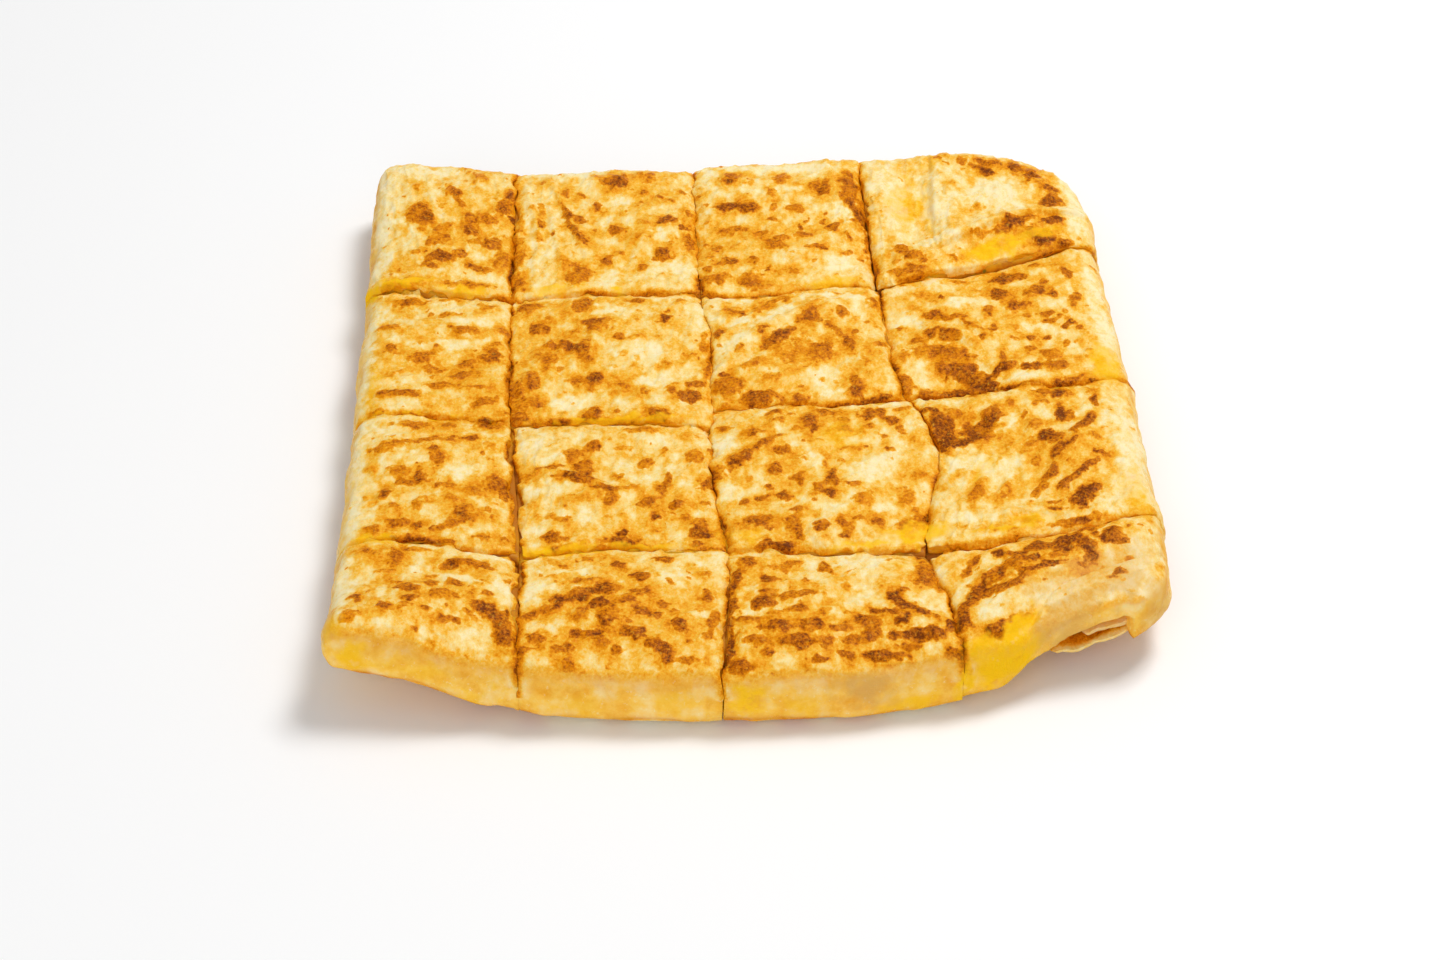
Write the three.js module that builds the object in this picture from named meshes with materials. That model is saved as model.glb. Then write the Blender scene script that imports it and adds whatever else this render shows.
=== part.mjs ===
// A murtabak: thin dough folded round an egg filling, browned on a griddle, then cut four by four.
// The sixteen squares still lie together and keep the shape of the whole.
//
// Millimetres, +Z up, +X to the right, +Y to the back. The origin is on the resting plane, under the
// middle of the whole. The middle of the underside is flat; the sides and corners curl up a little.
//
// Every square has a filling of its own and a crust of its own. A square at the edge of the whole has
// one crust that wraps from its top round its outer side to its underside. The four inner squares are
// cut free all round, so each of those has a top sheet and a bottom sheet with the filling between.

import * as THREE from 'three';

// ---------- driving dimensions ----------

const SQUARES_A_SIDE = 4;
const HALF_WIDTH = 105;
const HALF_DEPTH = 114;
const THICK_MIDDLE = 17;
const THICK_LOSS_TO_SIDE = 1.5;      // how much thinner the whole is at each side, and again at corners
const THICK_LOSS_POWER = 3;          // the higher, the closer to the side it thins
const PILLOW = 0.9;                  // each square is crowned by this much
const CUT_DROP = 1.4;                // the top sheet is pressed down along a cut
const CUT_DROP_REACH = 2.2;

const TOP_DOUGH = 1.6;
const SIDE_DOUGH = 2.6;
const BOTTOM_DOUGH = 1.3;
const FILLING_CLEARANCE = 0.35;
const FILLING_SIDE_CLEARANCE = 0.53;
const CUT_WIDTH_BELOW = 0.7;         // a cut narrows to this at the underside

const SHOULDER = 7;                  // the folded side starts to turn down this far in
const HEEL = 2.4;                    // and turns under to meet the underside this far in
const SIDE_LEAN = 2.2;               // the top of a folded side stands this much further in
const SIDE_SQUARENESS = 0.8;         // 1 rounds a folded side like an ellipse, less makes it squarer

// How far the underside curls up: nothing inside FLAT_HALF, then rising to the sides and corners.
const FLAT_HALF = 40;
const CURL_POWER = 1.7;
const CURL_LEFT = 4.5;
const CURL_RIGHT = 5.5;
const CURL_FRONT = 1;
const CURL_BACK = 4;
const CURL_CORNER = { frontLeft: 6, frontRight: 7, back: 0.5 };
const CURL_CORNER_POWER = 0.9;

// The lattice over the top of one square, and the coarser one under it and round the filling.
const FINE = 10;
const COARSE = 5;
const CROWDING = 0.62;               // how strongly the lattice crowds towards a cut

// Turning angles of the rings down a folded side: 90 would be the top and -90 the underside.
const RING_ANGLES = [62, 33, 2, -42];
const INNER_RING_ANGLES = [0];

// The inside of a folded crust stands in from the sheets' outer rims by these shares of the side dough.
const TOP_RIM_SHARE = 0.4;
const BOTTOM_RIM_SHARE = 0.5;

// Corner rounding of the whole, seen from above.
const CORNER_RADIUS = { backLeft: 7, backRight: 34, frontRight: 12, frontLeft: 6 };

// ---------- the cuts and the outline, each a smooth line through a few points ----------

// Cuts A, B and C run from front to back, cuts 1, 2 and 3 from side to side. Cut 2 steps at cut B.

const CUT_A = smoothLine([[-110, -58], [-60, -58.5], [-40, -59.5], [-14, -61.5], [44, -62.5], [112, -62]]);
const CUT_B = smoothLine([[-110, -9.5], [-90, -7.5], [-68, -6.5], [-40, -9.5], [-14, -9], [20, -8], [44, -10],
  [112, -10.5]]);
const CUT_C = smoothLine([[-110, 48.5], [-88, 46.5], [-68, 42.5], [-50, 45], [-33, 50], [-14, 46.5], [0, 42],
  [44, 39.5], [112, 38]]);

const CUT_1 = smoothLine([[-106, 49.5], [-85, 45.5], [-62, 43.5], [-40, 45.5], [-10, 44.5], [5, 43], [26, 47],
  [39, 47], [60, 51.5], [72, 55], [88, 59.5], [106, 61.5]]);
const CUT_2_LEFT = smoothLine([[-106, -11], [-85, -10.5], [-62, -12.5], [-40, -12.5], [-9, -15]]);
const CUT_2_RIGHT = smoothLine([[-9, -7.5], [25, -7], [46, -4.5], [80, -4], [106, 0]]);
const CUT_3 = smoothLine([[-106, -64.5], [-85, -63], [-60, -67], [-38, -64], [-9, -66], [18, -67.5],
  [42, -68.5], [70, -66.5], [106, -59.5]]);

const BACK = smoothLine([[-104, 113], [-86, 114], [-64, 110.5], [-10, 112], [30, 114], [60, 114.5],
  [104, 113]]);
const LEFT = smoothLine([[-114, -106], [-60, -105], [0, -104.5], [55, -104], [114, -104.5]]);
const RIGHT = smoothLine([[-114, 100.5], [-90, 102], [-60, 104], [0, 105], [50, 104], [114, 104.5]]);

const FRONT_BULGE = { at: 6, left: 11.5, leftPower: 2.2, right: 22, rightPower: 1.8 };

// Width of each cut at the top, along the cut.
const CUT_A_WIDTH = smoothLine([[-110, 1], [-90, 1.4], [-66, 2.4], [-30, 1.9], [-12, 1.5], [10, 1], [40, 0.9],
  [70, 1.3], [90, 1.7], [112, 1]]);
const CUT_B_WIDTH = smoothLine([[-110, 1.3], [-80, 1.2], [-66, 0.9], [-14, 0.8], [44, 1.2], [75, 0.9],
  [112, 0.8]]);
const CUT_C_WIDTH = smoothLine([[-110, 0.8], [-80, 0.8], [-69, 2.4], [-58, 1], [-20, 0.9], [0, 0.7],
  [40, 1.2], [60, 1.5], [112, 1.1]]);
const CUT_1_WIDTH = smoothLine([[-106, 2.6], [-62, 1.8], [-10, 1.9], [20, 1.7], [40, 1.6], [60, 2], [72, 3.8],
  [86, 3], [100, 1.2]]);
const CUT_2_WIDTH = smoothLine([[-106, 1], [-62, 1], [-9, 1.2], [40, 0.8], [106, 1]]);
const CUT_3_WIDTH = smoothLine([[-106, 2.2], [-62, 1.5], [-36, 2.6], [-9, 1.4], [20, 2.2], [42, 3.2], [60, 2],
  [106, 1.2]]);

// ---------- folds, blisters and hollows that stand out on the top of a square ----------

// A fold runs between two points; it rises by `rise` and dies away over `spread` either side.
const FOLDS = [
  // broad pleats and the sunken panel of the back right square, and its curled front edge
  { on: 'r1c4', from: [59, 101], to: [60, 66], spread: 3.6, rise: 1.6 },
  { on: 'r1c4', from: [51, 102], to: [53, 66], spread: 4, rise: -1.3 },
  { on: 'r1c4', from: [43.5, 98], to: [43.5, 62], spread: 3, rise: 0.7 },
  { on: 'r1c4', from: [67, 99], to: [66, 82], spread: 3, rise: -0.8 },
  { on: 'r1c4', from: [72, 84], to: [88, 80], spread: 9, rise: -0.9 },
  { on: 'r1c4', from: [64, 65], to: [93, 70], spread: 6, rise: 1.9 },
  { on: 'r1c4', from: [42, 57], to: [54, 60], spread: 4, rise: 0.6 },
  // the square in front of it dips along the open cut
  { on: 'r2c4', from: [64, 52], to: [86, 57], spread: 5, rise: -2.2 },
  { on: 'r2c4', from: [50, 27], to: [60, 25], spread: 2.6, rise: 0.9 },
  { on: 'r2c4', from: [60, 25], to: [65, 17], spread: 2.6, rise: 0.9 },
  { on: 'r2c4', from: [68, 33], to: [69, 22], spread: 2.4, rise: 0.7 },
  { on: 'r2c4', from: [67, 2], to: [73, 6], spread: 3, rise: 1 },
  { on: 'r2c4', from: [73, 6], to: [84, 3], spread: 3, rise: 1 },
  { on: 'r2c4', from: [56, 1], to: [64, -3], spread: 4, rise: -0.9 },
  // the right edge of the third back square slopes down into its cut
  { on: 'r1c3', from: [38, 92], to: [38.5, 50], spread: 3.6, rise: -1.5 },
  { on: 'r1c3', from: [31, 84], to: [34, 68], spread: 3, rise: 0.7 },
  { on: 'r1c3', from: [20, 51], to: [34, 52], spread: 3.5, rise: 0.6 },
  { on: 'r1c2', from: [-48, 90], to: [-42, 68], spread: 2.8, rise: 1 },
  { on: 'r1c2', from: [-54, 96], to: [-52, 70], spread: 3, rise: -0.6 },
  { on: 'r1c1', from: [-80, 92], to: [-74, 76], spread: 2.8, rise: 0.7 },
  // the tent-shaped fold of the third square in the second row
  { on: 'r2c3', from: [-6, 17], to: [20, 34], spread: 3.4, rise: 1.1 },
  { on: 'r2c3', from: [20, 34], to: [31, 17], spread: 3.2, rise: 0.9 },
  { on: 'r2c3', from: [31, 17], to: [36, 2], spread: 3, rise: 0.6 },
  { on: 'r2c3', from: [8, 12], to: [24, 12], spread: 7, rise: -0.6 },
  { on: 'r2c2', from: [-56, 8], to: [-30, 10], spread: 4, rise: 0.6 },
  { on: 'r2c1', from: [-98, 20], to: [-66, 22], spread: 3.4, rise: 0.6 },
  { on: 'r2c1', from: [-98, 2], to: [-66, 4], spread: 3.4, rise: 0.6 },
  { on: 'r3c1', from: [-98, -24], to: [-64, -23], spread: 3.2, rise: 0.6 },
  { on: 'r3c1', from: [-97, -52], to: [-66, -53], spread: 3.2, rise: 0.6 },
  // the big browned blister of the second square in the third row
  { on: 'r3c2', from: [-52, -35], to: [-42, -36], spread: 5, rise: 1.5 },
  { on: 'r3c2', from: [-40, -41], to: [-27, -42], spread: 3, rise: 0.6 },
  { on: 'r3c3', from: [2, -14], to: [38, -14], spread: 3.6, rise: 0.7 },
  { on: 'r3c3', from: [-5, -30], to: [6, -24], spread: 4, rise: 0.8 },
  { on: 'r3c3', from: [16, -62], to: [18, -60], spread: 4, rise: 0.9 },
  { on: 'r3c3', from: [44, -40], to: [40, -48], spread: 4, rise: -0.7 },
  { on: 'r3c4', from: [49, -16], to: [52, -28], spread: 4, rise: 1.1 },
  { on: 'r3c4', from: [76, -48], to: [89, -22], spread: 2.8, rise: 0.8 },
  { on: 'r3c4', from: [81, -56], to: [90, -40], spread: 2.8, rise: 0.8 },
  { on: 'r3c4', from: [68, -52], to: [74, -30], spread: 3.4, rise: -0.6 },
  { on: 'r4c1', from: [-84, -84], to: [-70, -90], spread: 5, rise: 0.8 },
  { on: 'r4c1', from: [-68, -96], to: [-60, -98], spread: 4, rise: 0.7 },
  { on: 'r4c2', from: [-46, -88], to: [-36, -90], spread: 6, rise: 0.9 },
  { on: 'r4c3', from: [-4, -74], to: [-6, -96], spread: 3, rise: 0.7 },
  { on: 'r4c3', from: [0, -101], to: [44, -97], spread: 4, rise: 0.8 },
  // the front right square: a diagonal fold, the slit that shows the filling, and the turned-down flap
  { on: 'r4c4', from: [52, -96], to: [66, -80], spread: 4, rise: 1 },
  { on: 'r4c4', from: [66, -80], to: [92, -70], spread: 5, rise: 1.2 },
  { on: 'r4c4', from: [58, -103], to: [72, -95], spread: 2.6, rise: -1.4 },
  { on: 'r4c4', from: [66, -105], to: [90, -90], spread: 4, rise: 0.9 },
];

// The corner flap falls away beyond a diagonal line over the front right square.
const FLAP_LINE = { from: [52, -106], to: [98, -78] };
const FLAP_FALL = 0.016;             // mm of fall for each square mm beyond the line

// The flap stands open at the front right corner: a groove runs along the side between its layers.
const OPEN_LAYERS = { from: 68, to: 97, frontOf: -84, ringAngle: RING_ANGLES[2], depth: 3.6 };
const TONGUE = { at: [98, -94], reach: 7, stand: 1.4 };

// The cooking left the sides a little uneven.
const SIDE_WAVE = { height: 0.45, length: 26, twist: 1.9 };
const TOP_WAVES = [
  { height: 0.35, along: [0.19, 0.07], phase: 0.6 },
  { height: 0.3, along: [-0.08, 0.21], phase: 2.1 },
  { height: 0.22, along: [0.13, -0.16], phase: 4.0 },
];

// Each square settled by itself after the cutting.
const SETTLE = {
  r1c1: 0.2, r1c2: -0.2, r1c3: 0.1, r1c4: 0.5,
  r2c1: -0.1, r2c2: 0.2, r2c3: 0.3, r2c4: -0.2,
  r3c1: 0.1, r3c2: -0.3, r3c3: 0.1, r3c4: 0.5,
  r4c1: 0, r4c2: 0.1, r4c3: 0.3, r4c4: 0,
};

const CRUST_COLOUR = 0xe8b75d;
const FILLING_COLOUR = 0xf0bd2c;

// ---------- small helpers ----------

// A smooth curve through [t, value] points: straight ends, and a tangent from both neighbours inside.
function smoothLine(points) {
  const slope = points.map((point, i) => {
    const before = points[Math.max(i - 1, 0)];
    const after = points[Math.min(i + 1, points.length - 1)];
    return (after[1] - before[1]) / (after[0] - before[0]);
  });
  return (t) => {
    let i = points.findIndex((point) => point[0] > t) - 1;
    if (i === -2) i = points.length - 2;
    if (i < 0) i = 0;
    const [t0, a] = points[i];
    const [t1, b] = points[i + 1];
    const h = t1 - t0;
    const s = THREE.MathUtils.clamp((t - t0) / h, 0, 1);
    const s2 = s * s;
    const s3 = s2 * s;
    return (2 * s3 - 3 * s2 + 1) * a + (s3 - 2 * s2 + s) * h * slope[i]
      + (3 * s2 - 2 * s3) * b + (s3 - s2) * h * slope[i + 1];
  };
}

const lerp = THREE.MathUtils.lerp;

function distanceToSegment(x, y, from, to) {
  const dx = to[0] - from[0];
  const dy = to[1] - from[1];
  const along = THREE.MathUtils.clamp(((x - from[0]) * dx + (y - from[1]) * dy) / (dx * dx + dy * dy), 0, 1);
  return Math.hypot(x - from[0] - along * dx, y - from[1] - along * dy);
}

// A closed body gathered face by face.
class Body {
  constructor() {
    this.positions = [];
    this.index = [];
  }

  point(p) {
    this.positions.push(p[0], p[1], p[2]);
    return this.positions.length / 3 - 1;
  }

  at(i) {
    return new THREE.Vector3().fromArray(this.positions, 3 * i);
  }

  // The corners run counter-clockwise seen from outside, or from inside for a face that looks back.
  triangle(a, b, c, looksBack) {
    if (looksBack) this.index.push(a, c, b);
    else this.index.push(a, b, c);
  }

  // Split from a to c whichever way it looks, so that a skin and the one next to it stay alongside.
  quad(a, b, c, d, looksBack) {
    this.triangle(a, b, c, looksBack);
    this.triangle(a, c, d, looksBack);
  }

  // Fills between two rows of points. Seen from outside both run to the right, `upper` above `lower`.
  // Rows of unlike counts are joined by how far along each point is.
  band(lower, upper, looksBack = false) {
    if (lower.length === upper.length) {
      for (let i = 0; i < lower.length - 1; i += 1) {
        this.quad(lower[i], lower[i + 1], upper[i + 1], upper[i], looksBack);
      }
      return;
    }
    const lowerAt = this.lengthsAlong(lower);
    const upperAt = this.lengthsAlong(upper);
    let i = 0;
    let j = 0;
    while (i < lower.length - 1 || j < upper.length - 1) {
      const upperDone = j === upper.length - 1;
      const lowerIsNext = i < lower.length - 1 && lowerAt[i + 1] < upperAt[j + 1];
      if (upperDone || lowerIsNext) {
        this.triangle(lower[i], lower[i + 1], upper[j], looksBack);
        i += 1;
      } else {
        this.triangle(lower[i], upper[j + 1], upper[j], looksBack);
        j += 1;
      }
    }
  }

  // Share of the whole length at each point of a row.
  lengthsAlong(row) {
    const sums = [0];
    for (let i = 1; i < row.length; i += 1) {
      sums.push(sums[i - 1] + this.at(row[i]).distanceTo(this.at(row[i - 1])));
    }
    return sums.map((sum) => sum / sums[sums.length - 1]);
  }

  // Faces of a lattice[i][j], i to the right and j to the back; they look up, or down when turned.
  sheet(lattice, looksDown) {
    for (let i = 0; i < lattice.length - 1; i += 1) {
      for (let j = 0; j < lattice[i].length - 1; j += 1) {
        this.quad(lattice[i][j], lattice[i + 1][j], lattice[i + 1][j + 1], lattice[i][j + 1], looksDown);
      }
    }
  }

  geometry() {
    const geometry = new THREE.BufferGeometry();
    geometry.setAttribute('position', new THREE.Float32BufferAttribute(this.positions, 3));
    geometry.setIndex(this.index);
    geometry.computeVertexNormals();
    return geometry;
  }
}

// ---------- the form of the whole ----------

// The front stands out furthest at FRONT_BULGE.at and falls back towards both corners.
function frontLine(x) {
  const { at, left, leftPower, right, rightPower } = FRONT_BULGE;
  const back = x < at
    ? left * ((at - x) / (at + HALF_WIDTH)) ** leftPower
    : right * ((x - at) / (HALF_WIDTH - at)) ** rightPower;
  return -HALF_DEPTH + back;
}

// Height of the underside over the resting plane.
function curl(x, y) {
  const across = Math.max(0, Math.abs(x) - FLAT_HALF) / (HALF_WIDTH - FLAT_HALF);
  const along = Math.max(0, Math.abs(y) - FLAT_HALF) / (HALF_DEPTH - FLAT_HALF);
  const side = x < 0 ? CURL_LEFT : CURL_RIGHT;
  const end = y < 0 ? CURL_FRONT : CURL_BACK;
  const frontCorner = x < 0 ? CURL_CORNER.frontLeft : CURL_CORNER.frontRight;
  const corner = y < 0 ? frontCorner : CURL_CORNER.back;
  return side * across ** CURL_POWER + end * along ** CURL_POWER
    + corner * (across * along) ** CURL_CORNER_POWER;
}

function thickness(x, y) {
  const across = Math.min(1, Math.abs(x) / HALF_WIDTH) ** THICK_LOSS_POWER;
  const along = Math.min(1, Math.abs(y) / HALF_DEPTH) ** THICK_LOSS_POWER;
  return THICK_MIDDLE - THICK_LOSS_TO_SIDE * (across + along + across * along);
}

// Relief of one square's top at a point: its folds, and for the front right square the fallen flap.
function relief(square, x, y) {
  let height = SETTLE[square.name];
  for (const wave of TOP_WAVES) {
    height += wave.height * Math.sin(wave.along[0] * x + wave.along[1] * y + wave.phase);
  }
  for (const fold of FOLDS) {
    if (fold.on !== square.name) continue;
    const away = distanceToSegment(x, y, fold.from, fold.to) / fold.spread;
    height += fold.rise * Math.exp(-away * away);
  }
  if (square.name === 'r4c4') {
    const dx = FLAP_LINE.to[0] - FLAP_LINE.from[0];
    const dy = FLAP_LINE.to[1] - FLAP_LINE.from[1];
    const beyond = ((x - FLAP_LINE.from[0]) * dy - (y - FLAP_LINE.from[1]) * dx) / Math.hypot(dx, dy);
    height -= FLAP_FALL * Math.max(0, beyond) ** 2;
  }
  return height;
}

// ---------- the sixteen squares ----------

const COLUMNS = [
  { left: LEFT, right: CUT_A, leftWidth: null, rightWidth: CUT_A_WIDTH },
  { left: CUT_A, right: CUT_B, leftWidth: CUT_A_WIDTH, rightWidth: CUT_B_WIDTH },
  { left: CUT_B, right: CUT_C, leftWidth: CUT_B_WIDTH, rightWidth: CUT_C_WIDTH },
  { left: CUT_C, right: RIGHT, leftWidth: CUT_C_WIDTH, rightWidth: null },
];

function rowLines(column) {
  const isLeftHalf = column < SQUARES_A_SIDE / 2;
  const cut2 = isLeftHalf ? CUT_2_LEFT : CUT_2_RIGHT;
  return [
    { back: BACK, front: CUT_1, backWidth: null, frontWidth: CUT_1_WIDTH },
    { back: CUT_1, front: cut2, backWidth: CUT_1_WIDTH, frontWidth: CUT_2_WIDTH },
    { back: cut2, front: CUT_3, backWidth: CUT_2_WIDTH, frontWidth: CUT_3_WIDTH },
    { back: CUT_3, front: frontLine, backWidth: CUT_3_WIDTH, frontWidth: null },
  ];
}

function makeSquare(row, column) {
  const lines = { ...COLUMNS[column], ...rowLines(column)[row] };
  const last = SQUARES_A_SIDE - 1;
  const folded = { left: column === 0, right: column === last, front: row === last, back: row === 0 };
  const name = `r${row + 1}c${column + 1}`;
  const corner = {
    r1c1: CORNER_RADIUS.backLeft,
    r1c4: CORNER_RADIUS.backRight,
    r4c4: CORNER_RADIUS.frontRight,
    r4c1: CORNER_RADIUS.frontLeft,
  }[name] ?? 0;
  return {
    name,
    lines,
    folded,
    cornerRadius: corner,
    across: stations(!folded.left, !folded.right, FINE),
    along: stations(!folded.front, !folded.back, FINE),
  };
}

// Places from 0 to 1 for the lattice lines, crowded towards an end that is a cut.
function stations(lowCut, highCut, count) {
  const places = [];
  for (let i = 0; i <= count; i += 1) {
    const t = i / count;
    let shift = 0;
    if (lowCut && highCut) shift = -Math.sin(2 * Math.PI * t) / (2 * Math.PI);
    else if (lowCut) shift = -Math.sin(Math.PI * t) / Math.PI;
    else if (highCut) shift = Math.sin(Math.PI * t) / Math.PI;
    places.push(t + CROWDING * shift);
  }
  return places;
}

// Half the width of a cut at a level from 0, the underside, to 1, the top.
function halfCut(width, t, level) {
  return lerp(CUT_WIDTH_BELOW, Math.max(width(t), CUT_WIDTH_BELOW), level) / 2;
}

// The place seen from above of lattice position u, v when folded sides stand `inset` in from the
// outline and cut sides are half a cut's width in from the cut's line.
function planPoint(square, u, v, inset, level) {
  const { lines, folded } = square;
  let x = 0;
  let y = 0;
  const settlingRounds = 14;
  for (let round = 0; round < settlingRounds; round += 1) {
    const x0 = lines.left(y) + (folded.left ? inset : halfCut(lines.leftWidth, y, level));
    const x1 = lines.right(y) - (folded.right ? inset : halfCut(lines.rightWidth, y, level));
    const y0 = lines.front(x) + (folded.front ? inset : halfCut(lines.frontWidth, x, level));
    const y1 = lines.back(x) - (folded.back ? inset : halfCut(lines.backWidth, x, level));
    x = lerp(x0, x1, u);
    y = lerp(y0, y1, v);
  }
  return roundedCorner(square, x, y, inset);
}

// Draws a corner of the whole in to its radius.
function roundedCorner(square, x, y, inset) {
  if (square.cornerRadius === 0) return [x, y];
  const toRight = square.folded.right ? 1 : -1;
  const toBack = square.folded.back ? 1 : -1;
  const side = square.folded.right ? square.lines.right : square.lines.left;
  const end = square.folded.back ? square.lines.back : square.lines.front;
  const radius = Math.max(square.cornerRadius - inset, 1);
  const reachX = 1 - (toRight * (side(y) - x) - inset) / radius;
  const reachY = 1 - (toBack * (end(x) - y) - inset) / radius;
  if (reachX <= 0 || reachY <= 0) return [x, y];
  const drawnX = reachX * Math.sqrt(1 - reachY ** 2 / 2);
  const drawnY = reachY * Math.sqrt(1 - reachX ** 2 / 2);
  return [x - toRight * (reachX - drawnX) * radius, y - toBack * (reachY - drawnY) * radius];
}

// Height of the outside of the top sheet at lattice position u, v.
function topHeight(square, u, v, x, y) {
  const { lines, folded } = square;
  const crown = PILLOW * (1 - (2 * u - 1) ** 4) * (1 - (2 * v - 1) ** 4);
  let drop = 0;
  if (!folded.left) drop += Math.exp(-(x - lines.left(y)) / CUT_DROP_REACH);
  if (!folded.right) drop += Math.exp(-(lines.right(y) - x) / CUT_DROP_REACH);
  if (!folded.front) drop += Math.exp(-(y - lines.front(x)) / CUT_DROP_REACH);
  if (!folded.back) drop += Math.exp(-(lines.back(x) - y) / CUT_DROP_REACH);
  return curl(x, y) + thickness(x, y) + relief(square, x, y) + crown - CUT_DROP * drop;
}

// The outside of the top sheet, as points, on the fine lattice.
function topPoints(square) {
  return square.across.map((u) => square.along.map((v) => {
    const [x, y] = planPoint(square, u, v, SHOULDER + SIDE_LEAN, 1);
    return [x, y, topHeight(square, u, v, x, y)];
  }));
}

// Lowest height of the outside within one fine step, so that a coarse sheet below it stays clear.
function lowestNear(points, i, j) {
  let lowest = Infinity;
  for (let di = -1; di <= 1; di += 1) {
    for (let dj = -1; dj <= 1; dj += 1) {
      const near = points[i + di]?.[j + dj];
      if (near) lowest = Math.min(lowest, near[2]);
    }
  }
  return lowest;
}

// ---------- skins: the surfaces that the crust and the filling are made of ----------

// A skin lies `under` the outside of the top, `inside` the folded sides and `over` the underside.
const OUTSIDE = { count: FINE, angles: RING_ANGLES, under: 0, inside: 0, over: 0 };
const CAVITY = { count: COARSE, angles: INNER_RING_ANGLES, under: TOP_DOUGH, inside: SIDE_DOUGH,
  over: BOTTOM_DOUGH };
const FILLING = { count: COARSE, angles: INNER_RING_ANGLES, under: TOP_DOUGH + FILLING_CLEARANCE,
  inside: SIDE_DOUGH + FILLING_SIDE_CLEARANCE, over: BOTTOM_DOUGH + FILLING_CLEARANCE };

// Position m round the rim: 0 is the front left corner, then counter-clockwise, `count` to a side.
function rimPlace(count, m) {
  const side = Math.floor(m / count) % 4;
  const step = m % count;
  if (side === 0) return [step, 0];
  if (side === 1) return [count, step];
  if (side === 2) return [count - step, count];
  return [0, count - step];
}

function rimOf(lattice, from, to) {
  const count = lattice.length - 1;
  const row = [];
  for (let m = from; m <= to; m += 1) {
    const [i, j] = rimPlace(count, m % (4 * count));
    row.push(lattice[i][j]);
  }
  return row;
}

// The uneven side, the groove between the open layers, and the tongue of dough that hangs beside it.
function sideRelief(square, x, y, angle) {
  const { height, length, twist } = SIDE_WAVE;
  const turn = THREE.MathUtils.degToRad(angle);
  let stand = height * Math.sin((x - y) * 2 * Math.PI / length + twist * turn);
  if (square.name === 'r4c4') {
    const { from, to, frontOf, ringAngle, depth } = OPEN_LAYERS;
    if (x > from && x < to && y < frontOf && angle === ringAngle) {
      stand -= depth * Math.sin(Math.PI * (x - from) / (to - from));
    }
    const away = Math.hypot(x - TONGUE.at[0], y - TONGUE.at[1]) / TONGUE.reach;
    stand += TONGUE.stand * Math.exp(-away * away);
  }
  return stand;
}

function makeSkin(body, square, kind, outside, fullRings) {
  const step = FINE / kind.count;
  const topInset = SHOULDER + SIDE_LEAN + kind.inside * TOP_RIM_SHARE;
  const bottomInset = HEEL + kind.inside * BOTTOM_RIM_SHARE;
  const bottomCount = COARSE;
  const topLevel = 1 - kind.under / THICK_MIDDLE;
  const bottomLevel = kind.over / THICK_MIDDLE;

  const topAt = (i, j) => {
    const u = square.across[i * step];
    const v = square.along[j * step];
    if (kind.under === 0) return outside[i][j];
    const [x, y] = planPoint(square, u, v, topInset, topLevel);
    return [x, y, lowestNear(outside, i * step, j * step) - kind.under];
  };
  const bottomAt = (u, v) => {
    const [x, y] = planPoint(square, u, v, bottomInset, bottomLevel);
    return [x, y, curl(x, y) + kind.over];
  };

  const places = [...Array(kind.count + 1).keys()];
  const topPointsHere = places.map((i) => places.map((j) => topAt(i, j)));
  const top = topPointsHere.map((column) => column.map((p) => body.point(p)));
  const low = [...Array(bottomCount + 1).keys()].map((i) => i * FINE / bottomCount);
  const bottom = low.map((i) => low.map((j) => body.point(bottomAt(square.across[i], square.along[j]))));

  const span = fullRings ? { from: 0, to: 4 } : foldedSpan(square);
  const rings = [];
  for (const angle of span ? kind.angles : []) {
    const ring = [];
    const last = fullRings ? 4 * kind.count - 1 : span.to * kind.count;
    for (let m = span.from * kind.count; m <= last; m += 1) {
      const [i, j] = rimPlace(kind.count, m % (4 * kind.count));
      const place = { i: i * step, j: j * step, topPoint: topPointsHere[i][j] };
      ring.push(body.point(ringPoint(square, kind, place, angle, bottomAt)));
    }
    rings.push(ring);
  }
  return { top, bottom, rings, span };
}

// A point on the folded side, on a rounded profile that leans in towards the top.
function ringPoint(square, kind, place, angle, bottomAt) {
  const u = square.across[place.i];
  const v = square.along[place.j];
  const turn = THREE.MathUtils.degToRad(angle);
  const rise = Math.sign(turn) * Math.abs(Math.sin(turn)) ** SIDE_SQUARENESS;
  const level = 0.5 + 0.5 * rise;
  const depth = rise > 0 ? SHOULDER : HEEL;
  const inset = depth * (1 - Math.cos(turn) ** SIDE_SQUARENESS) + SIDE_LEAN * level + kind.inside;
  const rough = planPoint(square, u, v, inset, level);
  const stand = kind.inside === 0 ? sideRelief(square, rough[0], rough[1], angle) : 0;
  const [x, y] = planPoint(square, u, v, Math.max(inset - stand, 0), level);
  return [x, y, lerp(bottomAt(u, v)[2], place.topPoint[2], level)];
}

// Sides that are folded follow one another round the rim: where they start and stop, in sides.
function foldedSpan(square) {
  const order = ['front', 'right', 'back', 'left', 'front', 'right'];
  const from = order.findIndex((side, k) => square.folded[side] && !square.folded[order[(k + 3) % 4]]);
  if (from < 0) return null;
  const sides = square.folded[order[from + 1]] ? 2 : 1;
  return { from, to: from + sides };
}

// ---------- bodies ----------

function sideBands(body, skin, topCount, bottomCount, turnedIn) {
  const { span, rings } = skin;
  const rows = [
    rimOf(skin.top, span.from * topCount, span.to * topCount),
    ...rings,
    rimOf(skin.bottom, span.from * bottomCount, span.to * bottomCount),
  ];
  for (let k = 0; k < rows.length - 1; k += 1) {
    body.band(rows[k + 1], rows[k], turnedIn);
  }
}

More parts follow.
